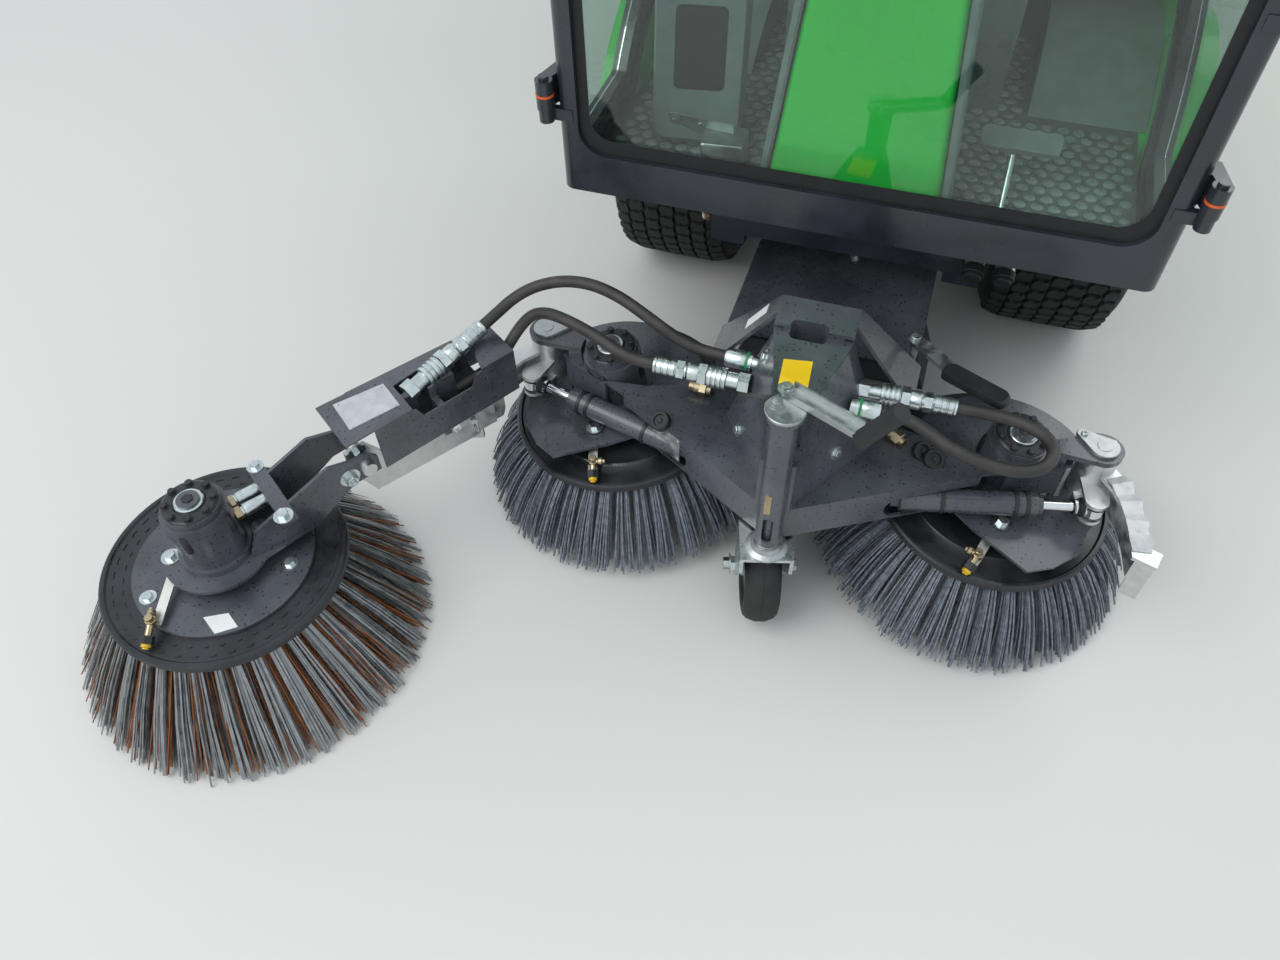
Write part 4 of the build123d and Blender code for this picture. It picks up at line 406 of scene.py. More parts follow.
def slab(made, outline, where, low, high, chamfer=0.0):
    # A flat outline raised from low to high along the matrix's z, its top edge bevelled
    corners = [Vector(corner) for corner in outline]
    middle = sum(corners, Vector((0, 0))) / len(corners)
    reach = max((corner - middle).length for corner in corners)
    rings = []
    levels = [(low, 0), (high - chamfer, 0), (high, chamfer)] if chamfer else [(low, 0), (high, 0)]
    for z, inset in levels:
        spots = [middle + (corner - middle) * (1 - inset / reach) for corner in corners]
        rings.append(ringOf(made, where, [(*spot, z) for spot in spots]))
    for below, above in zip(rings, rings[1:]):
        wallBetween(made, below, above)
    made.faces.new(rings[0][::-1])
    made.faces.new(rings[-1])


def ovalOutline(width, height, corner, steps=5):
    # A rectangle with round corners, as a list of points
    points = []
    inX, inY = width / 2 - corner, height / 2 - corner
    for cx, cy, start in ((inX, inY, 0), (-inX, inY, 90), (-inX, -inY, 180), (inX, -inY, 270)):
        for i in range(steps + 1):
            a = radians(start + 90 * i / steps)
            points.append((cx + corner * cos(a), cy + corner * sin(a)))
    return points


# The washer's radius is a share of the head's key size, and the head sinks into it a little
boltLook = {"turn": 0.3, "washer": 0.92, "thick": 1.6, "foot": 1.5, "chamfer": 0.8}


def hexagon(flats):
    corner = flats / 2 / cos(pi / 6)
    turns = [pi / 3 * i + boltLook["turn"] for i in range(6)]
    return [(corner * cos(a), corner * sin(a)) for a in turns]


def bolt(made, place, direction, flats, rise):
    # A hexagon head on its washer, standing on the surface at a place
    where = frameAt(place, direction)
    radius, thick, foot = flats * boltLook["washer"], boltLook["thick"], boltLook["foot"]
    turnedForm(made, [(0, 0), (radius, 0), (radius, thick), (0, thick)], where, 20)
    slab(made, hexagon(flats), where, foot, foot + rise, boltLook["chamfer"])


def stepped(made, start, direction, steps, faces=28):
    # Turned steps of (radius, length) one after another along a direction
    profile, height = [(0, 0)], 0.0
    for radius, length in steps:
        edge = min(0.8, length / 4)
        profile += [(radius - edge, height), (radius, height + edge)]
        profile += [(radius, height + length - edge), (radius - edge, height + length)]
        height += length
    turnedForm(made, profile + [(0, height)], frameAt(start, direction), faces)


def bristle(verts, faces, spots, across, halfWide, halfThick):
    # A strand or strip: four corners at each spot along it, closed at both ends
    first = len(verts)
    for i, spot in enumerate(spots):
        along = (spots[min(i + 1, len(spots) - 1)] - spots[max(i - 1, 0)]).normalized()
        side = (across - along * across.dot(along)).normalized()
        rise = along.cross(side)
        for a, b in ((1, 1), (-1, 1), (-1, -1), (1, -1)):
            verts.append(spot + side * (a * halfWide) + rise * (b * halfThick))
    for i in range(len(spots) - 1):
        for j in range(4):
            low, high = first + 4 * i, first + 4 * i + 4
            faces.append((low + j, low + (j + 1) % 4, high + (j + 1) % 4, high + j))
    faces.append((first + 3, first + 2, first + 1, first))
    last = first + 4 * (len(spots) - 1)
    faces.append((last, last + 1, last + 2, last + 3))


def flatBar(made, spots, across, halfWide, halfThick):
    # A bent strip through places in millimetres
    verts, faces = [], []
    bristle(verts, faces, [Vector(p) for p in spots], Vector(across), halfWide, halfThick)
    placed = [made.verts.new(at(*v)) for v in verts]
    for face in faces:
        made.faces.new([placed[i] for i in face])


def meshOf(curveObject):
    bpy.context.view_layer.update()
    graph = bpy.context.evaluated_depsgraph_get()
    return bpy.data.meshes.new_from_object(curveObject.evaluated_get(graph))


def routeCurve(name, route, diameter, material):
    # A smooth NURBS line through a route's control points, with a round section
    data = bpy.data.curves.new(name, "CURVE")
    data.dimensions = "3D"
    line = data.splines.new("NURBS")
    line.points.add(len(route) - 1)
    for point, place in zip(line.points, route):
        point.co = (*at(*place), 1.0)
    line.order_u = 3
    line.use_endpoint_u = True
    line.resolution_u = 8
    data.bevel_resolution = 5
    data.use_fill_caps = True
    data.materials.append(material)
    made = linkPiece(name, data)
    # The points that the bare line runs through, in order, before it gets its thickness
    bare = meshOf(made)
    points = [v.co.copy() for v in bare.vertices]
    bpy.data.meshes.remove(bare)
    data.bevel_depth = diameter / 2000
    return made, points


# Hydraulic hoses of the sweeping head; the first two, which cross where the bracket swings, are made into
# meshes in place and ride on no body
hoses = {
    "hoseArmUpper": {
        "node": "hose_arm_upper",
        "diameter": 20,
        "route": [
            (-134.3, 217, 405), (-168, 218.2, 405), (-203, 219, 412), (-240, 224, 428), (-284, 236, 445),
            (-331, 252, 456), (-383, 264, 459), (-434, 264, 453), (-479, 252, 440), (-512, 231, 423),
            (-531.8, 202.5, 408.6), (-547.2, 168.6, 402.1),
        ],
        "swings": True,
    },
    "hoseArmLower": {
        "node": "hose_arm_lower",
        "diameter": 20,
        "route": [
            (-242.3, 173, 398), (-274, 172.5, 398), (-308, 178, 404), (-340, 187, 414), (-376, 196, 422),
            (-412, 206, 424), (-448, 218, 418), (-478, 222, 402), (-500, 206, 376), (-515, 166.2, 347),
            (-539.3, 123.4, 333), (-567.3, 82.3, 333),
        ],
        "swings": True,
    },
    "hoseLoop": {
        "node": "hose_loop",
        "diameter": 20,
        "route": [
            (235.3, 219, 398), (272, 220.2, 398), (310, 216, 402), (346, 205, 406), (374, 185, 408),
            (384, 156, 406), (370, 130, 400), (340, 118, 396), (304, 116, 396), (266, 122, 398),
            (230, 134, 400), (198, 152, 403), (164, 168, 405), (124.3, 168, 405),
        ],
        "swings": False,
    },
}
for name, facts in hoses.items():
    curve, points = routeCurve(name + "Line", facts["route"], facts["diameter"], hoseRubber)
    if facts["swings"]:
        hose = linkPiece(name, meshOf(curve))
        for face in hose.data.polygons:
            face.use_smooth = True
        bpy.data.objects.remove(curve)
        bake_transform(hose)
    else:
        hose = curve
        hose.name = name
        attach(hose, "sweeper")
    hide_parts(facts["node"])

# Brushes: black plates with a thick rim, and tufts whose tips just clear the ground
brushLook = {"tufts": 40, "twist": 0.02, "ragged": 5, "rootScatter": 2, "kneeTurn": 0.35, "strandTurn": 0.4}


def aroundShaft(radius, angle, height):
    return Vector((radius * cos(angle), radius * sin(angle), height))


def strandPiece(name, where, facts, look, material):
    # All the strands of one kind on a brush, as one mesh
    chance = random.Random(look["seed"])
    verts, faces = [], []
    for tuft in range(brushLook["tufts"]):
        middle = 2 * pi * (tuft + look["shift"]) / brushLook["tufts"]
        tuftTwist = chance.uniform(-brushLook["twist"], brushLook["twist"])
        for strand in range(look["strands"]):
            u = chance.uniform(-1, 1)
            v = (strand + chance.random()) / look["strands"]
            rootR = look["rootIn"] + (look["rootOut"] - look["rootIn"]) * v
            tipR = facts["tipR"] - look["tipBand"] * (1 - v) - chance.uniform(0, brushLook["ragged"])
            rootAt = middle + u * look["rootHalf"] / rootR
            strayed = u * look["tipHalf"] + chance.uniform(-1, 1) * look["stray"]
            tipAt = middle + look["sweep"] + tuftTwist + strayed / tipR
            scatter = chance.uniform(-brushLook["rootScatter"], brushLook["rootScatter"])
            root = aroundShaft(rootR, rootAt, look["rootZ"] + scatter)
            tip = aroundShaft(tipR, tipAt, -facts["drop"] + chance.uniform(0, look["tipRise"]))
            knee = aroundShaft(
                rootR + (tipR - rootR) * look["kneeOut"],
                rootAt + (tipAt - rootAt) * brushLook["kneeTurn"],
                root.z + (tip.z - root.z) * look["kneeDown"],
            )
            spots = []
            for i in range(look["runs"] + 1):
                t = i / look["runs"]
                spots.append(root * (1 - t) ** 2 + knee * (2 * t * (1 - t)) + tip * t**2)
            turn = chance.uniform(-brushLook["strandTurn"], brushLook["strandTurn"])
            across = aroundShaft(1, rootAt + pi / 2 + turn, 0)
            bristle(verts, faces, spots, across, look["halfWide"], look["halfThick"])
    mesh = bpy.data.meshes.new(name)
    mesh.from_pydata([where @ (v / 1000) for v in verts], [], faces)
    smoothAngle = 60 if look["halfWide"] == look["halfThick"] else 30
    return dressPiece(name, mesh, material, facts["node"], smoothAngle)


plasticStrands = {
    "strands": 36, "shift": 0.0, "rootIn": 150, "rootOut": 188, "rootHalf": 9, "rootZ": -12, "tipHalf": 19,
    "stray": 3.5, "tipBand": 46, "tipRise": 9, "kneeOut": 0.62, "kneeDown": 0.34, "runs": 4,
    "halfWide": 1.15, "halfThick": 1.15,
}
flatWires = {
    "seed": 23, "strands": 30, "shift": 0.0, "rootIn": 150, "rootOut": 190, "rootHalf": 7.5, "rootZ": -11,
    "tipHalf": 15, "stray": 4, "tipBand": 42, "tipRise": 9, "sweep": 0.0, "kneeOut": 0.55,
    "kneeDown": 0.47, "runs": 2, "halfWide": 1.4, "halfThick": 0.5,
}
rustyStrands = {
    "seed": 31, "strands": 12, "shift": 0.5, "rootIn": 152, "rootOut": 180, "rootHalf": 9, "rootZ": -14,
    "tipHalf": 12, "stray": 9, "tipBand": 60, "tipRise": 16, "sweep": 0.01, "kneeOut": 0.5,
    "kneeDown": 0.5, "runs": 2, "halfWide": 0.8, "halfThick": 0.8,
}
mainPlate = [
    (16, -13), (60, -13), (150, -9), (186, -13), (196, -13), (200, -8), (200, 4), (197, 7), (192, 7),
    (189, 2), (168, 0), (150, 1), (146, 4), (72, 5), (70, 12), (50, 13), (40, 18), (16, 18),
]
thirdPlate = [
    (16, -12), (60, -12), (150, -8), (190, -12), (196, -12), (200, -7), (200, 4), (197, 7), (191, 7),
    (188, 4), (150, 4), (60, 4), (16, 4),
]
shafts = {
    "Left": ((336, 265, 185), (14, -12, 159)),
    "Right": ((-336, 265, 185), (-14, -12, 159)),
    "Third": ((-845.24, -273.74, 190), up),
}
mainBrush = {"tipR": 287, "drop": 150.5, "plate": mainPlate}
brushes = {
    "Left": {"node": "brush_left", "sweep": 0.05, "seed": 20, **mainBrush},
    "Right": {"node": "brush_right", "sweep": -0.05, "seed": 21, **mainBrush},
    "Third": {"node": "brush_third", "tipR": 309, "drop": 187.5, "plate": thirdPlate},
}
for word, facts in brushes.items():
    name = "brush" + word
    where = frameAt(*shafts[word], (1, 0, 0))
    third = word == "Third"
    forms = [(ringForm, facts["plate"], where, 96)]
    # Each tuft's clamp shows as a pair of small crescents on the third plate's top
    for tuft in range(brushLook["tufts"] if third else 0):
        for radius, half, shift in ((176, 5.5, 0), (160, 4, 0.5)):
            turn = Matrix.Rotation(2 * pi * (tuft + shift) / brushLook["tufts"], 4, "Z")
            crescent = [(radius + half * cos(a), half * sin(a) * 1.3) for a in (-1.3, -0.7, 0, 0.7, 1.3)]
            crescent += [(radius + half * 0.45 * cos(a), half * 0.9 * sin(a)) for a in (0.9, 0, -0.9)]
            forms.append((slab, crescent, where @ turn, 3.6, 5.4))
    builtPiece(name + "Plate", wetBlackAbs, facts["node"], *forms)
    if third:
        disc = [(16, 4.5), (147, 4.5), (147, 9.5), (145.5, 11), (16, 11)]
        builtPiece(name + "Disc", wetBlackCoat, facts["node"], (ringForm, disc, where, 96))
        wires = strandPiece(name + "Wires", where, facts, flatWires, flatWireSteel)
        strandPiece(name + "RustyWires", where, facts, rustyStrands, rustyWire)
        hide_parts(facts["node"])
    else:
        look = dict(plasticStrands, sweep=facts["sweep"], seed=facts["seed"])
        strands = strandPiece(name + "Strands", where, facts, look, brushNylon)
        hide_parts(facts["node"])
print("brushes set")

# Tyres: a round-shouldered carcass with seven rings of turf blocks, and the wheel's nuts
halfBlock = [(-15, -6), (-8, -13), (5, -10), (12, -14), (16, -4)]
tyreLook = {
    # offset across the tread, radius, which way the blocks lean
    "rings": [
        (-102, 286, 1), (-68, 291, 0), (-34, 291.6, 0), (0, 291.6, 0), (34, 291.6, 0), (68, 291, 0),
        (102, 286, -1),
    ],
    "lean": atan2(3.5, 12),
    "blocks": 54,
    "block": halfBlock + [(-x, -y) for x, y in halfBlock],
    "carcass": [
        (154.3, -94), (157, -104), (176, -119), (204, -128), (232, -132), (252, -130), (266, -122),
        (277, -108), (282, -88), (284, -50),
    ],
}
hubLook = {
    "x": 401.5, "z": 292, "face": 22, "nuts": 5, "nutR": 62, "firstNut": 0.3,
    "cap": [
        (36, 0), (40, 0), (40, 3), (37.5, 5), (37.5, 20), (34, 24.5), (20, 26), (0, 26), (0, 19), (36, 19),
    ],
}
# The block's own z points outwards and its x across the tread
acrossTread = Matrix(((0, 0, 1, 0), (0, 1, 0, 0), (1, 0, 0, 0), (0, 0, 0, 1)))
wheels = [
    (end + hand, f"wheel_{end}_{hand}".lower(), side, y)
    for end, y in (("Front", 1040), ("Rear", 2190))
    for hand, side in (("Left", 1), ("Right", -1))
]
for name, body, side, y in wheels:
    hub = frameAt((side * hubLook["x"], y, hubLook["z"]), (side, 0, 0), up)
    forms = [(ringForm, mirrored(tyreLook["carcass"]), hub, 96)]
    for ring, (off, top, lean) in enumerate(tyreLook["rings"]):
        tilt = acrossTread @ Matrix.Rotation(-lean * tyreLook["lean"], 4, "Y")
        for block in range(tyreLook["blocks"]):
            angle = 2 * pi * (block + 0.5 * (ring % 2)) / tyreLook["blocks"]
            spot = shifted(hub @ Matrix.Rotation(angle, 4, "Z"), top, 0, off) @ tilt
            forms.append((slab, tyreLook["block"], spot, -11, 0, 1.4))
    tyre = builtPiece("tyre" + name, tyreRubber, body, *forms, smoothAngle=40)
    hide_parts(body.replace("wheel", "tyre"))
    forms = [(ringForm, hubLook["cap"], shifted(hub, 0, 0, hubLook["face"]), 32)]
    for i in range(hubLook["nuts"]):
        angle = 2 * pi * i / hubLook["nuts"] + hubLook["firstNut"]
        across, rise = hubLook["nutR"] * sin(angle), hubLook["nutR"] * cos(angle)
        place = (side * (hubLook["x"] + hubLook["face"]), y - side * across, hubLook["z"] + rise)
        forms.append((bolt, place, (side, 0, 0), 19, 13))
    builtPiece("hubFittings" + name, zincPlate, body, *forms)
print("tyres set")

# Jack castor: a worn solid tyre on its hub, the fork's welded collar and the axle's nuts
castorLook = {
    "turn": radians(16), "trail": 48, "z": 100, "nutOut": 51,
    "tyre": [
        (66, -23), (70, -29), (80, -31), (88, -29), (94, -23), (97.6, -14), (99.6, -8), (99.6, -1),
        (99.1, -0.6),
    ],
    "core": [(10.5, -34), (20, -34), (23, -18), (58, -14), (66, -23), (68, -22)],
    "collar": [(20.6, 223.4), (34, 223.4), (34, 227), (27, 232), (24, 241), (20.6, 241)],
}
castorSide = Vector((cos(castorLook["turn"]), sin(castorLook["turn"]), 0))
castorMiddle = Vector((-castorSide.y, castorSide.x, 0)) * castorLook["trail"]
castorMiddle.z = castorLook["z"]
castorHub = frameAt(castorMiddle, castorSide, up)
tyreForm = (ringForm, mirrored(castorLook["tyre"]), castorHub, 72)
castorTyre = builtPiece("castorTyre", wornRubber, "castor_wheel", tyreForm, smoothAngle=50)
coreForm = (ringForm, mirrored(castorLook["core"]), castorHub, 48)
builtPiece("castorHubCore", greyAbs, "castor_wheel", coreForm)
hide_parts("castor_wheel")
nuts = [(castorMiddle + way * castorLook["nutOut"], way) for way in (castorSide, -castorSide)]
builtPiece(
    "castorTrim", wornZinc, "castor",
    (ringForm, castorLook["collar"], frameAt((0, 0, 0)), 40),
    *[(bolt, place, way, 19, 11) for place, way in nuts],
)

# Jack crank and hitch lever: pressed zinc bars with black grips
crankLook = {"start": Vector((-2, 30, 554)), "end": Vector((103, -15, 554)), "across": Vector((44, 103, 0))}
rail = crankLook["across"].normalized() * 12
crank = builtPiece(
    "jackCrankArm", wornZinc, "sweeper",
    (turnedForm, [(0, 8.2), (29, 8.2), (29, 12), (28, 13), (0, 13)], frameAt((0, 0, 534)), 48),
    (flatBar, [(-6, 31, 549), (50, 8, 549), (103, -15, 549)], rail, 13, 1.6),
    (flatBar, [crankLook["start"] + rail, crankLook["end"] + rail], up, 6, 1.4),
    (flatBar, [crankLook["start"] - rail, crankLook["end"] - rail], up, 6, 1.4),
    (stepped, (-2, 32, 548), up, [(9, 4), (6, 3)]),
)
builtPiece(
    "jackCrankBolts", wornZinc, "sweeper",
    (bolt, (-7, 33, 551), up, 13, 7),
    (bolt, (-13, 5, 547), up, 13, 6),
)
gripWay = Vector((44, -5, 74))
builtPiece(
    "jackCrankGrip", solidRubber, "sweeper",
    (stepped, (104, -26, 544), gripWay, [(10, 3), (13, gripWay.length - 2)], 32),
    (stepped, (144.6, -30.6, 612.6), gripWay, [(14.2, 8)], 32),
)
leverPath = [(146, 346, 408), (205, 300, 408), (222, 280, 409), (300, 244, 409)]
builtPiece(
    "hitchLeverBar", wornZinc, "sweeper",
    (flatBar, leverPath, (0.2, 0.35, 0.0), 12.5, 3.4),
    (stepped, (152, 342, 355.5), up, [(8, 48), (12, 4), (8, 10)]),
)
leverGrip = (slab, ovalOutline(112, 31, 11), frameAt((256, 264, 409), up, (105, -48, 0)), -7, 8, 4)
builtPiece("hitchLeverGrip", solidRubber, "sweeper", leverGrip)
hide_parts("hand_levers")

# Quick couplers: hexagons, knurled sleeves with locking grooves and crimped ferrules
couplerLook = {
    # start and end: the pairs of couplings, the short ferrules, the pair in the arm; a pair's own length
    "long": [((-84, 175, 398), (-242, 173, 398)), ((82, 214, 398), (235, 219, 398))],
    "short": [((-80, 215, 405), (-134, 217, 405)), ((78, 168, 405), (124, 168, 405))],
    "arm": ((-617.5, 13.9, 372), (-547.4, 168.3, 402)),
    "length": 158,
}


def longCoupler(made, start, end):
    way = Vector(end) - Vector(start)
    where = frameAt(start, way, up)
    k = way.length / couplerLook["length"]
    for flats, low, high in ((30, 0, 18), (32, 70, 84), (28, 107, 120)):
        slab(made, hexagon(flats), where, low * k, high * k, 1)
    neck = [(0, 17), (13, 17), (13, 40), (0, 40)]
    barrel = [(0, 83), (14, 83), (15.5, 86), (15.5, 100), (14, 102), (12.5, 104), (12.5, 108), (0, 108)]
    for profile in (neck, barrel):
        turnedForm(made, [(radius, height * k) for radius, height in profile], where, 28)
    sleeve = [(0, 36 * k)]
    for low in (37 * k, 45 * k, 53 * k, 61 * k):
        sleeve += [(16.6, low), (18, low + 0.8), (18, low + 5.2 * k), (16.6, low + 6 * k)]
        sleeve += [(15.6, low + 6.4 * k), (15.6, low + 7.6 * k)]
    turnedForm(made, sleeve + [(0, 69 * k)], where, 36)
    crimped = [(0, 119 * k), (12, 119 * k)]
    for low in (122 * k, 133 * k, 144 * k):
        crimped += [(13.2, low), (14.2, low + 1), (14.2, low + 8 * k), (13.2, low + 9 * k)]
    turnedForm(made, crimped + [(14.6, 155 * k), (14.6, 158 * k), (0, 158 * k)], where, 28)


couplerForms = [(longCoupler, *ends) for ends in couplerLook["long"]]
greenForms = []
for start, end in couplerLook["short"]:
    way = Vector(end) - Vector(start)
    k = way.length
    where = frameAt(start, way, up)
    collar = [(0, 0), (12, 0), (12, k * 0.18), (15.5, k * 0.18), (15.5, k * 0.3), (0, k * 0.3)]
    ferrule = [(0, k * 0.36), (15.5, k * 0.36), (16.2, k * 0.4), (16.2, k * 0.94), (14.8, k), (0, k)]
    couplerForms += [(turnedForm, collar, where, 28), (turnedForm, ferrule, where, 28)]
    band = [(0, k * 0.29), (16.8, k * 0.29), (16.8, k * 0.37), (0, k * 0.37)]
    greenForms.append((turnedForm, band, where, 28))
armForm = (longCoupler, *couplerLook["arm"])
armCouplerPiece = builtPiece("armQuickCoupler", zincPlate, "swing_right", armForm, smoothAngle=30)
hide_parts("arm_coupler")
couplerPiece = builtPiece("quickCouplers", zincPlate, "sweeper", *couplerForms, smoothAngle=30)
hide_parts("couplers")
builtPiece("couplerRings", greenRing, "sweeper", *greenForms)
print("levers and couplers set")

# Brush motors: a bolted cap, the bearing ring with its black plug, ports with brass and zinc fittings
motorLook = {
    "boltR": 36, "bolts": 8, "lugR": 49, "lugs": 4, "ports": (-14, 14),
    "cap": [(0, -1), (40, -1), (43, 0), (43, 1.2), (40, 3.5), (26, 3.5), (24, 2), (0, 2)],
    "lug": [(0, -62), (5, -62), (7, -58), (7, -26), (5, -22), (0, -22)],
    "ring": [(9, 1), (23, 1), (23, 6), (21.8, 7.2), (11, 7.2), (9, 6)],
    "stub": [(0, 10), (8, 10), (8, 14), (10.5, 15), (10.5, 54), (9.5, 56), (0, 56)],
}
motors = [
    # name, body, cap's top above the brush, where the ports look
    ("Left", "sweeper", 150, (-0.75, 0.66, 0)),
    ("Right", "sweeper", 150, (0.75, 0.66, 0)),
    ("Third", "third_arm", 160, (0.563, 0.826, 0)),
]
for name, body, top, ports in motors:
    # Heights count from the cap's top
    where = shifted(frameAt(*shafts[name], ports), 0, 0, top)
    forms = [(turnedForm, motorLook["cap"], where, 48), (slab, hexagon(16), where, 6, 12.6, 1)]
    for seat in roundAbout(where, motorLook["boltR"], motorLook["bolts"], 3.2):
        forms.append((turnedForm, [(0, 0), (7.2, 0), (7.2, 1.4), (0, 1.4)], seat, 18))
        forms.append((slab, hexagon(10), seat, 1.2, 6.2, 0.8))
    # Lugs of the through bolts down the casting's side
    for seat in roundAbout(where, motorLook["lugR"], motorLook["lugs"], 0):
        forms.append((turnedForm, motorLook["lug"], seat, 16))
    builtPiece("motorCap" + name, wetBlackAbs, body, *forms)
    builtPiece("motorRing" + name, zincPlate, body, (ringForm, motorLook["ring"], where, 40))
# The third motor, set last, shows its two ports
outwards = Matrix.Rotation(pi / 2, 4, "Y")
seats = [shifted(where, 48, off, -56) @ outwards for off in motorLook["ports"]]
ports = [(slab, hexagon(19), seat, 0, 11, 0.8) for seat in seats]
builtPiece("motorPortsThird", cleanBrass, "third_arm", *ports)
stubs = [(turnedForm, motorLook["stub"], seat, 24) for seat in seats]
builtPiece("motorStubsThird", zincPlate, "third_arm", *stubs)
print("motors set")

# Water nozzles: a pale strip, a brass elbow, a black nut and a yellow tip
nozzleLook = {"strip": 8, "thick": 1.5, "bore": 11}
nozzles = {
    "Left": {
        "body": "sweeper", "strip": [(352, 166, 211), (344, 148, 207), (331, 108, 194), (322, 84, 191)],
        "elbow": (327, 98, 193), "tip": (314, 68, 187), "stub": (-0.9, 0.25, 0.1),
    },
    "Right": {
        "body": "sweeper", "strip": [(-356, 166, 211), (-350, 148, 207), (-338, 108, 194), (-330, 84, 191)],
        "elbow": (-334, 98, 193), "tip": (-324, 68, 187), "stub": (0.9, 0.25, 0.1),
    },
    "Third": {
        "body": "third_arm",
        "strip": [(-893, -322, 222.4), (-888, -342, 222.4), (-876, -392, 213), (-868, -420, 210)],
        "elbow": (-872, -420, 211), "tip": (-864, -458, 204), "stub": (-0.5, 0.86, 0.1),
    },
}
for name, facts in nozzles.items():
    body, strip = facts["body"], facts["strip"]
    across = (strip[0][1] - strip[-1][1], strip[-1][0] - strip[0][0], 0)
    stripForm = (flatBar, strip, across, nozzleLook["strip"], nozzleLook["thick"])
    builtPiece("nozzleStrip" + name, paleAluminium, body, stripForm)
    low = Vector(facts["elbow"]) + Vector((0, 0, nozzleLook["bore"]))
    way = Vector(facts["tip"]) - low
    builtPiece(
        "nozzleElbow" + name, cleanBrass, body,
        (stepped, facts["elbow"], up, [(7, 6), (8.5, 9), (6.5, 8)], 20),
        (stepped, low, facts["stub"], [(5, 10), (7, 7), (4.5, 5)], 18),
        (stepped, low, way, [(5.5, way.length - 18)], 18),
    )
    nutAt, tipAt = (low + way * (1 - back / way.length) for back in (20, 8))
    builtPiece("nozzleNut" + name, blackAbs, body, (slab, hexagon(19), frameAt(nutAt, way), 0, 13, 1))
    builtPiece("nozzleTip" + name, yellowCap, body, (stepped, tipAt, way, [(7.4, 6), (5, 3)], 20))
print("nozzles set")

# Bolts of the sweeping head: place, direction, key size, height
headBolts = {
    "sweeper": [
        ((-89, 144, 319), (-0.84, -0.48, 0.25), 13, 6), ((72, 124, 340), (0.86, -0.46, 0.22), 13, 6),
        ((-63, 181, 458), (-0.91, -0.29, 0.29), 13, 6), ((15, 592, 355), up, 13, 6),
        ((355, 161, 221.5), (0.088, -0.075, 1), 17, 8), ((-352, 161, 221.5), (-0.088, -0.075, 1), 17, 8),
    ],
    "third_arm": [
        ((-907, -312, 230), up, 17, 8), ((-671, -118, 292), (0.83, -0.56, 0), 19, 12),
        ((-821, -154, 306), up, 15, 8), ((-724, -228, 306), up, 17, 9), ((-802, -216, 230), up, 17, 8),
    ],
    "swing_right": [
        ((-673, -81, 313), (0.83, -0.56, 0), 17, 11), ((-552, 94, 243), (-0.56, -0.83, 0), 13, 6),
    ],
    "brush_third": [((x, y, 200.8), up, 15, 6) for x, y in ((-735, -251), (-918, -377), (-893, -165))],
}
for body, rows in headBolts.items():
    forms = [(bolt, *row) for row in rows]
    for place, way, flats, rise in rows:
        # The long ones show their thread
        if rise > 10:
            forms.append((stepped, Vector(place) + Vector(way) * (rise + 1), way, [(5, 7)], 16))
    builtPiece(body + "Bolts", zincPlate, body, *forms)

# Zinc caps over the pins at the beam's ends, each with a socket screw
pinCapLook = {"screw": [(0, 0), (5.5, 0), (5.5, 3), (4.5, 4), (2.75, 4), (2.75, 1.6), (0, 1.6)]}
forms = []
for side in (1, -1):
    outline = []
    for cx, cy, radius, first, last in ((475, 269, 24, -130, 45), (440, 288, 9, 45, 230)):
        for i in range(9):
            a = radians(first + (last - first) * i / 8)
            outline.append((side * (cx + radius * cos(a)), cy + radius * sin(a)))
    forms.append((slab, outline[::side], frameAt((0, 0, 0)), 328, 334, 1))
    forms.append((stepped, (side * 475, 269, 333), up, [(12, 2)], 24))
    forms.append((turnedForm, pinCapLook["screw"], frameAt((side * 443, 286, 333.6)), 18))
builtPiece("beamPinCaps", wornZinc, "sweeper", *forms)

# Blank plates and stickers where the machine carries its makers' and warning plates
blankPlates = {
    # body, material, direction outwards, thickness, corners
    "armPlate": (
        "swing_right", labelAluminium, up, 0.8,
        [(-715, -50, 380), (-659, 17, 380), (-611, -18, 380), (-662, -90, 380)],
    ),
    "towerPlate": (
        "sweeper", yellowSticker, up, 0.6,
        [(-32, 151, 490), (11, 158, 490), (15, 103, 490), (-28, 98, 490)],
    ),
    "hoodPlate": (
        "sweeper", whiteSticker, (-0.8, 0, 0.6), 0.6,
        [(-84, 262, 474), (-84, 284, 474), (-116, 284, 431), (-116, 262, 431)],
    ),
    "beamPlate": (
        "sweeper", labelAluminium, (-0.493, -0.87, 0), 0.8,
        [(-180, 110.4, 296), (-236, 142, 296), (-236, 142, 244), (-180, 110.4, 244)],
    ),
    "discSticker": (
        "brush_third", whiteSticker, up, 0.6,
        [(-812, -382, 201.4), (-778, -402, 201.4), (-750, -380, 201.4), (-778, -363, 201.4)],
    ),
}
# How deep a plate sits in its surface, and how far its rivets stand in from the corners
plateLook = {"sunk": 0.3, "rivetIn": 0.14, "rivet": [(2.4, 1.2)]}
for name, (body, material, way, thick, corners) in blankPlates.items():
    made = bmesh.new()
    way = Vector(way).normalized()
    corners = [Vector(corner) for corner in corners]
    low = [made.verts.new(at(*(corner - way * plateLook["sunk"]))) for corner in corners]
    high = [made.verts.new(at(*(corner + way * thick))) for corner in corners]
    made.faces.new(low[::-1])
    made.faces.new(high)
    wallBetween(made, low, high)
    if material is labelAluminium:
        middle = sum(corners, Vector()) / 4
        for corner in corners:
            rivetAt = corner + (middle - corner) * plateLook["rivetIn"] + way * (thick - 0.1)
            stepped(made, rivetAt, way, plateLook["rivet"], 12)
    makePiece(name, made, material, body)

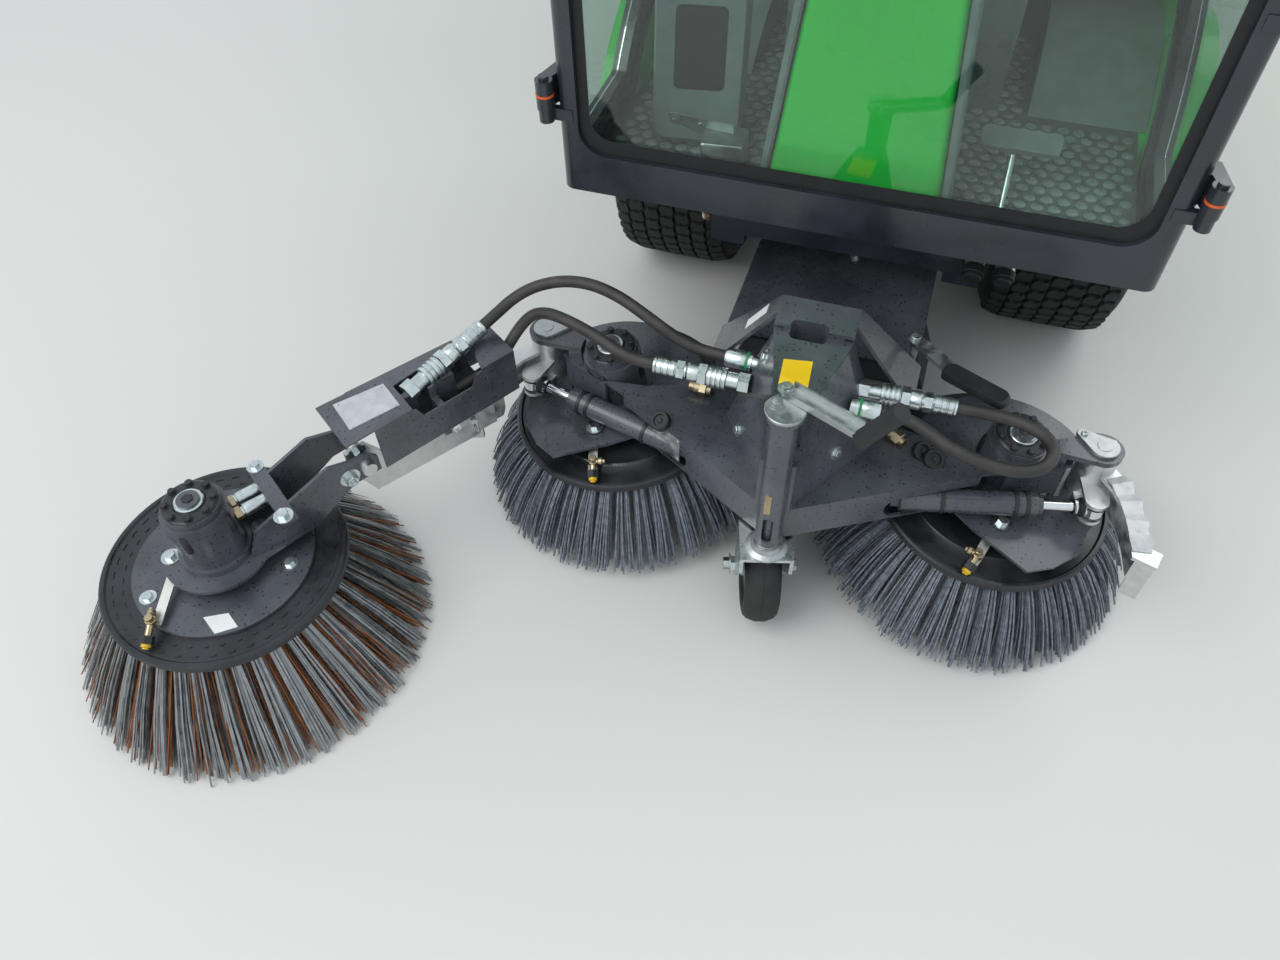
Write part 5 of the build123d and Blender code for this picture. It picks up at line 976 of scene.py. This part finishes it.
# Brass water fittings on the beam and the black dust caps on its front edge
fittingLook = {
    "foot": [(0, 0), (9, 0), (9, 8), (11, 9), (11, 20), (0, 20)],
    "end": [(0, 30), (9, 30), (9, 38), (6, 40), (0, 40)],
    "dustCap": [
        (0, -2), (15, -2), (17, 0), (17, 9), (15.5, 11), (11, 11), (10, 8), (5, 8), (4, 10), (0, 10),
    ],
}
forms = []
for place, way in (((-196, 226, 312), (1, -0.05, 0)), ((140, 224, 312), (0.85, -0.5, -0.1))):
    where = frameAt(place, way, up)
    forms += [(turnedForm, fittingLook[part], where, 24) for part in ("foot", "end")]
    forms.append((slab, hexagon(23), where, 19, 31, 1))
builtPiece("brassWaterFittings", cleanBrass, "sweeper", *forms)
dustCaps = [
    ((-220, 140, 300), (-0.3, -0.5, 0.9)),
    ((201, 201, 300), (0.5, -0.3, 0.8)),
    ((222, 190, 300), (0.3, -0.4, 0.8)),
]
forms = [(turnedForm, fittingLook["dustCap"], frameAt(*spot), 32) for spot in dustCaps]
builtPiece("dustCaps", solidRubber, "sweeper", *forms)
print("head trim set")

# Jack post's screw in its slot, the locking ring on the arm's pin, clamp rings and boots of the cylinders
screwForm = (flatBar, [(-4, -20, 334), (-4, -20, 378)], (1, 0, 0), 5, 2)
builtPiece("jackScrew", cleanBrass, "sweeper", screwForm)
lockLook = {"ringR": 17, "wireR": 1.7, "place": (-554.2, 90.7, 243), "way": (-0.56, -0.83, 0)}
wireTurns = [2 * pi * i / 8 for i in range(8)]
wire = [(lockLook["ringR"] + lockLook["wireR"] * cos(a), lockLook["wireR"] * sin(a)) for a in wireTurns]
lockForm = (ringForm, wire, frameAt(lockLook["place"], lockLook["way"]), 36)
builtPiece("lockRing", zincPlate, "swing_right", lockForm)
swingLook = {
    # the barrel's inner end and mouth, and the rod's eye
    "points": ((186, 134), (396, 185), (484, 206)), "z": 255, "rings": (-16, -34, -150), "bootBack": 32,
    "ring": [(19.5, -3), (22, -3), (22, 3), (19.5, 3)],
    "boot": [(9, 0), (12, 0), (13, 2), (12, 4), (14.2, 6.5), (13.2, 9), (15.5, 11.5), (15.5, 16), (9, 16)],
}
forms = []
for side, body in ((1, "rod_left"), (-1, "rod_right")):
    inner, mouth, eye = (Vector((side * x, y, swingLook["z"])) for x, y in swingLook["points"])
    way = (mouth - inner).normalized()
    for off in swingLook["rings"]:
        forms.append((ringForm, swingLook["ring"], frameAt(mouth + way * off, way), 36))
    foot = frameAt(eye - way * swingLook["bootBack"], way)
    builtPiece("rodBoot" + body[4:].title(), softRubber, body, (ringForm, swingLook["boot"], foot, 32))
builtPiece("barrelRings", blackAbs, "sweeper", *forms)

# Folded wear strip on the left end bracket's flange, creased across like a concertina
foldLook = {
    "low": 294.5, "rise": 7, "thick": 3, "narrow": 14, "wide": 18,
    "path": [
        (504, 245), (513, 230), (520, 213), (527, 197), (532, 179), (537, 161), (540, 142), (543, 124),
        (546, 107),
    ],
}
made = bmesh.new()
path = foldLook["path"]
folds = []
for i, (x, y) in enumerate(path):
    before, after = path[max(0, i - 1)], path[min(len(path) - 1, i + 1)]
    across = Vector((after[1] - before[1], before[0] - after[0], 0)).normalized()
    half = foldLook["wide"] if i % 2 else foldLook["narrow"]
    z = foldLook["low"] + foldLook["rise"] * (i % 2)
    corners = ((-half, z), (half, z), (half, z - foldLook["thick"]), (-half, z - foldLook["thick"]))
    folds.append([made.verts.new(at(x + across.x * o, y + across.y * o, level)) for o, level in corners])
for first, second in zip(folds, folds[1:]):
    wallBetween(made, first, second)
made.faces.new(folds[0])
made.faces.new(folds[-1])
makePiece("bracketFoldStrip", made, castAluminium, "swing_left")

# Channel sheet inside the arm's cover, under the coupler's slot, in the arm's own measures:
# from the swing pin outwards, and towards the arm's inner side
channelLook = {"corners": ((150, -26), (150, 52), (330, 60), (330, -27)), "low": 307, "high": 310}
channel = []
for reach, off in channelLook["corners"]:
    channel.append((-475 - 0.5633 * reach + 0.8263 * off, 269 - 0.8263 * reach - 0.5633 * off))
sheet = (slab, channel, frameAt((0, 0, 0)), channelLook["low"], channelLook["high"])
builtPiece("armChannelSheet", wetBlackCoat, "swing_right", sheet)

# Cab: floor dots, grey linings over the arches, console edges, screen border, hinge rings
cabLook = {
    "floorTop": 560, "half": 436, "front": 428, "rear": 1090, "dotR": 10, "dotPitch": 27, "dotRise": 2.6,
    "archIn": 255, "archR": 353.5, "archY": 1040, "archZ": 292, "crescentIn": 448, "archFront": 790,
    "consoleHalf": 152, "consoleRear": 560, "bare": 14,
}
dotR, rise, pitch, bare = (cabLook[key] for key in ("dotR", "dotRise", "dotPitch", "bare"))
rowPitch = pitch * 0.87  # the dots stand in triangles
dot = [(0, -0.6), (dotR, -0.6), (dotR, rise - 1), (dotR - 1.6, rise), (0, rise)]
forms = []
for row in range(int((cabLook["rear"] - cabLook["front"]) / rowPitch)):
    y = cabLook["front"] + bare + row * rowPitch
    for column in range(int(2 * cabLook["half"] / pitch)):
        x = -cabLook["half"] + (column + 0.75 + 0.5 * (row % 2)) * pitch
        underWall = abs(x) > cabLook["half"] - bare
        underArch = abs(x) > cabLook["archIn"] - bare and y > cabLook["archFront"]
        underConsole = abs(x) < cabLook["consoleHalf"] and y < cabLook["consoleRear"]
        if not (underWall or underArch or underConsole):
            forms.append((turnedForm, dot, frameAt((x, y, cabLook["floorTop"])), 12))
# The dots' paler colour is a painted sheen for their glossy wet tops
builtPiece("floorDots", dotRubberPaintedSheen, "front_frame", *forms)
made = bmesh.new()
outerR, innerR = cabLook["archR"] + 3, cabLook["archR"] + 0.3
archLow = asin((cabLook["floorTop"] - cabLook["archZ"]) / outerR)
turns = [archLow + (pi - 2 * archLow) * i / 28 for i in range(29)]
outer = [(outerR * cos(a), outerR * sin(a)) for a in turns]
band = outer + [(innerR * cos(a), innerR * sin(a)) for a in reversed(turns)]
for side in (1, -1):
    across = frameAt((0, cabLook["archY"], cabLook["archZ"]), (side, 0, 0), (0, side, 0))
    slab(made, outer, across, cabLook["archIn"] - 4, cabLook["archIn"] - 0.4)
    levels = (cabLook["archIn"] - 1, cabLook["crescentIn"] - 0.5)
    rings = [ringOf(made, across, [(x, y, z) for x, y in band]) for z in levels]
    wallBetween(made, *rings)
    for ring in rings:
        for i in range(len(turns) - 1):
            made.faces.new((ring[i], ring[i + 1], ring[-2 - i], ring[-1 - i]))
makePiece("archLinings", made, consoleGrey, "front_frame", 30)
consoleEnds = (
    ((141, 431, 561), (154, 431, 561), (154, 547, 561), (141, 547, 561)),
    ((112, 491, 893), (125, 491, 893), (125, 587, 893), (112, 587, 893)),
)
made = bmesh.new()
for side in (1, -1):
    rings = [[made.verts.new(at(side * x, y, z)) for x, y, z in end] for end in consoleEnds]
    wallBetween(made, *rings)
    for ring in rings:
        made.faces.new(ring)
bmesh.ops.bevel(made, geom=made.edges[:], offset=0.003, segments=2, affect="EDGES")
makePiece("consoleEdges", made, consoleGrey, "front_frame")

# Printed black border on the windscreen's face, a thin skin bent where the screen bends
screenLook = {
    # width, height, corner and middle of the border's outer and inner edge
    "loops": ((873, 1174, 45, 1202.5), (839, 1132, 38, 1206.5)),
    "bend": 1050, "bendY": 399, "slope": 50 / 840,
}
bend = screenLook["bend"]
loops = []
for wide, high, corner, middleZ in screenLook["loops"]:
    spots = [(x, z + middleZ) for x, z in ovalOutline(wide, high, corner, 8)]
    loop = []
    for (x, z), (_, nextZ) in zip(spots, spots[1:] + spots[:1]):
        loop.append((x, z))
        if (z - bend) * (nextZ - bend) < 0:
            loop.append((x, bend))
    loops.append(loop)
made = bmesh.new()
rings = []
for loop, face in zip(loops + loops[::-1], (-0.5, -0.5, 0.2, 0.2)):
    rings.append([])
    for x, z in loop:
        y = screenLook["bendY"] + max(0, z - bend) * screenLook["slope"] + face
        rings[-1].append(made.verts.new(at(x, y, z)))
for first, second in zip(rings, rings[1:] + rings[:1]):
    wallBetween(made, first, second)
makePiece("screenBorder", made, softRubber, "front_frame")
print("cab trims set")

# Pedal with its rod beside the console, the grey control box and its bright strip on the other side
pedalAt = frameAt((237, 590, 634), (0, -0.35, 0.94), (1, 0, 0))
pedal = [(60 - 12 * i, 20 + 3 * (i % 2)) for i in range(11)] + [(-64, 10), (-60, -20), (60, -20), (64, 10)]
builtPiece("pedalPad", consoleGrey, "front_frame", (slab, pedal, pedalAt, 0, 8, 1.5))
builtPiece("pedalRod", zincPlate, "front_frame", (stepped, (231, 500, 561), (-3, 66, 69), [(5, 92)], 16))
boxLook = {"way": (0.15, -0.97, 0.2), "sideways": (1, 0.15, 0)}
boxAt = frameAt((-292, 590, 690), boxLook["way"], boxLook["sideways"])
builtPiece("controlBox", consoleGrey, "front_frame", (slab, ovalOutline(150, 250, 24), boxAt, -60, 30, 8))
windowAt = shifted(frameAt((-290, 590, 690), boxLook["way"], boxLook["sideways"]), 0, 30)
windowForm = (slab, ovalOutline(84, 130, 10), windowAt, 28, 31.5, 1)
builtPiece("controlWindow", softRubber, "front_frame", windowForm)
builtPiece(
    "pedalBracket", wornZinc, "front_frame",
    (flatBar, [(-330, 540, 610), (-215, 530, 610)], (0, -0.3, 0.95), 17, 1.5),
    (slab, ovalOutline(74, 62, 6), frameAt((-228, 520, 562), up, (1, 0.1, 0)), -1, 46, 3),
    *[(bolt, (x, 536, 614), (0, -0.95, -0.3), 10, 4) for x in (-318, -272, -228)],
)

# Hinge rings, mirror glasses, head lamps and beacon
hingeRing = [(8.5, -2), (14.5, -2), (14.5, 2), (8.5, 2)]
hinges = [frameAt((side * 486, 384, z)) for side in (1, -1) for z in (715, 985)]
builtPiece("hingeRings", orangeRing, "front_frame", *[(ringForm, hingeRing, hinge, 28) for hinge in hinges])
glasses = [frameAt((side * 557, 357, 1600), (0, 1, 0), (1, 0, 0)) for side in (1, -1)]
forms = [(slab, ovalOutline(104, 192, 20), glass, -1, 1.4, 0.6) for glass in glasses]
builtPiece("mirrorGlasses", mirrorSilver, "front_frame", *forms)
lampLook = {
    "x": 300, "y": 434.9, "z": 1838, "deep": 52.9, "bowl": [(0, 0), (14, 0), (14, 3), (9, 1), (0, 0.6)],
    "beacon": (0, 800, 1950.9), "base": [(0, 0), (62, 0), (62, 20), (57, 25.7), (0, 25.7)],
}
beaconAt = frameAt(lampLook["beacon"])
housingForms = []
lensForms = []
reflectorForms = []
for side in (1, -1):
    where = frameAt((side * lampLook["x"], lampLook["y"], lampLook["z"]), (0, -1, 0), (1, 0, 0))
    housingForms.append((slab, ovalOutline(130, 56, 12), where, 0, 44, 2))
    reflectorForms.append((slab, ovalOutline(114, 42, 8), where, 40, 45))
    for column in (-34, 0, 34):
        reflectorForms.append((turnedForm, lampLook["bowl"], shifted(where, column, 0, 45), 24))
    lensForms.append((slab, ovalOutline(122, 50, 10), where, 44.5, lampLook["deep"], 3))
housingForms.append((turnedForm, lampLook["base"], beaconAt, 56))
housings = builtPiece("lampHousings", blackAbs, "front_frame", *housingForms)
builtPiece("lampReflectors", mirrorSilver, "front_frame", *reflectorForms)
builtPiece("lampLenses", lensClear, "front_frame", *lensForms)
dome = [(0, 25), (52, 25)]
for i in range(9):
    for radius, height in ((51.5, 30), (50, 32), (50, 36), (51, 38)):
        dome.append((radius - i * 0.7, height + 8 * i))
dome += [(40, 108), (26, 112.4), (0, 113.6)]
builtPiece("beaconDome", lensAmber, "front_frame", (turnedForm, dome, beaconAt, 56))
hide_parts("lamps")

# Tail lamps: a black tray with red, amber and clear parts
tailLook = {"lenses": ((-42, 54, "Red"), (16, 46, "Amber"), (55, 24, "Clear"))}
tails = [frameAt((side * 370, 2720.3, 560), (0, 1, 0), (side, 0, 0)) for side in (1, -1)]
forms = [(slab, ovalOutline(150, 60, 12), tail, 0, 9, 1) for tail in tails]
tray = builtPiece("tailLampTrays", blackAbs, "rear_frame", *forms)
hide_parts("tail_lamps")
for off, wide, word in tailLook["lenses"]:
    forms = [(slab, ovalOutline(wide, 50, 6), shifted(tail, -off, 0), 8.5, 17.5, 2) for tail in tails]
    builtPiece("tailLens" + word, tailLenses[word], "rear_frame", *forms)

# Fittings under the cab's front: a drain cock on one side, two capped couplings on the other
builtPiece(
    "drainCock", cleanBrass, "front_frame",
    (stepped, (-240, 478, 546), (0, 0, -1), [(9, 26), (13, 14), (8, 22), (11, 12)], 20),
    (stepped, (-240, 478, 512), (0.9, -0.3, -0.2), [(5, 20), (8, 16)], 18),
)
couplingLook = {"xs": (214, 262), "way": (0, -0.9, -0.4), "steps": [(15, 14), (12, 10), (16, 22)]}
way = couplingLook["way"]
builtPiece(
    "frontCouplings", zincPlate, "front_frame",
    (slab, ovalOutline(120, 60, 6), frameAt((246, 492, 516), (0, -1, 0), (1, 0, 0)), -3, 3),
    *[(stepped, (x, 490, 508), way, couplingLook["steps"], 28) for x in couplingLook["xs"]],
)
forms = [(stepped, (x, 448, 489.5), way, [(18, 14), (14, 6)], 28) for x in couplingLook["xs"]]
builtPiece("frontCouplingCaps", solidRubber, "front_frame", *forms)
print("lamps and fittings set")


# Seat: two crowned pads of vinyl over foam, sewn in three channels, drawn in between their corners
seatLook = {"pull": 0.022, "rounding": 0.16, "grid": 36, "seam": 5, "seamX": 0.42, "seamY": 0.25}


def crownedPad(made, width, depth, thick, crown, where):
    grid, pull, rounding = seatLook["grid"], seatLook["pull"], seatLook["rounding"]
    spots = {}
    for level in (0, 1):
        for i in range(grid + 1):
            for j in range(grid + 1):
                u, v = 2 * i / grid - 1, 2 * j / grid - 1
                if level and max(abs(u), abs(v)) == 1:
                    spots[1, i, j] = spots[0, i, j]
                    continue
                x = width / 2 * u * sqrt(1 - rounding * v * v) * (1 - pull * (1 - v * v))
                y = depth / 2 * v * sqrt(1 - rounding * u * u) * (1 - pull * (1 - u * u))
                full = (max(0, 1 - abs(u) ** 7) * max(0, 1 - abs(v) ** 7)) ** 0.32
                seam = exp(-((abs(u) - seatLook["seamX"]) * 16) ** 2)
                seam += exp(-((v - seatLook["seamY"]) * 18) ** 2) * (abs(u) < seatLook["seamX"])
                bulge = crown * (1 - u * u) * (1 - v * v) - seatLook["seam"] * seam
                top = thick * 0.5 + (thick * 0.5 + bulge) * full
                z = top if level else thick * 0.5 * (1 - full)
                spots[level, i, j] = made.verts.new(where @ (Vector((x, y, z)) / 1000))
    for level in (0, 1):
        for i in range(grid):
            for j in range(grid):
                corners = [spots[level, i + a, j + b] for a, b in ((0, 0), (1, 0), (1, 1), (0, 1))]
                made.faces.new(corners if level else corners[::-1])


seatForm = (crownedPad, 452, 400, 92, 9, frameAt((0, 950, 801.5), (0, -0.03, 1), (1, 0, 0)))
backForm = (crownedPad, 440, 520, 78, 8, frameAt((0, 1262, 1146), (0, -0.9934, 0.1146), (1, 0, 0)))
seatPad = builtPiece("seatPad", seatVinyl, "front_frame", seatForm, smoothAngle=60)
backPad = builtPiece("seatBackPad", seatVinyl, "front_frame", backForm, smoothAngle=60)
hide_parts("seat")
print("seat set")

# Plain pale floor and soft studio light
studio = {
    "floor": "#CFCFCB", "background": "#D9DBDC", "worldStrength": 1.05, "lampWatts": 85,
    "aim": Vector((0, 900, 300)),
}
floorMesh = bpy.data.meshes.new("studioFloor")
floorMesh.from_pydata([(-30, -30, 0), (30, -30, 0), (30, 30, 0), (-30, 30, 0)], [], [(0, 1, 2, 3)])
floorObject = linkPiece("studioFloor", floorMesh)
floorMesh.materials.append(startMaterial("paintedStudioFloor", studio["floor"], 0.85)[0])

world = bpy.data.worlds.new("softStudio")
bpy.context.scene.world = world
world.use_nodes = True
worldTree = world.node_tree
worldTree.nodes.clear()
rays = addNode(worldTree, "LightPath").outputs
seenRays = {0: rays["Is Camera Ray"], 1: rays["Is Transmission Ray"]}
seen = addNode(worldTree, "Math", {"operation": "MAXIMUM"}, seenRays)
shades = {0: seen.outputs[0]}
for socket, tint, strength in ((1, "#E6ECF2", studio["worldStrength"]), (2, studio["background"], 1.0)):
    backdrop = {"Color": toLinear(tint), "Strength": strength}
    shades[socket] = addNode(worldTree, "Background", backdrop).outputs[0]
mixed = addNode(worldTree, "MixShader", {}, shades)
addNode(worldTree, "OutputWorld", {}, {"Surface": mixed.outputs[0]})
for name, place, size, watts in (
    ("keyLamp", (-1900, -1800, 3600), 2.6, studio["lampWatts"]),
    ("rearLamp", (2300, 3300, 3600), 2.6, studio["lampWatts"] * 0.6),
):
    lampData = bpy.data.lights.new(name, "AREA")
    lampData.size = size
    lampData.energy = watts
    lamp = linkPiece(name, lampData)
    lamp.matrix_world = frameAt(place, Vector(place) - studio["aim"])
print("studio set")
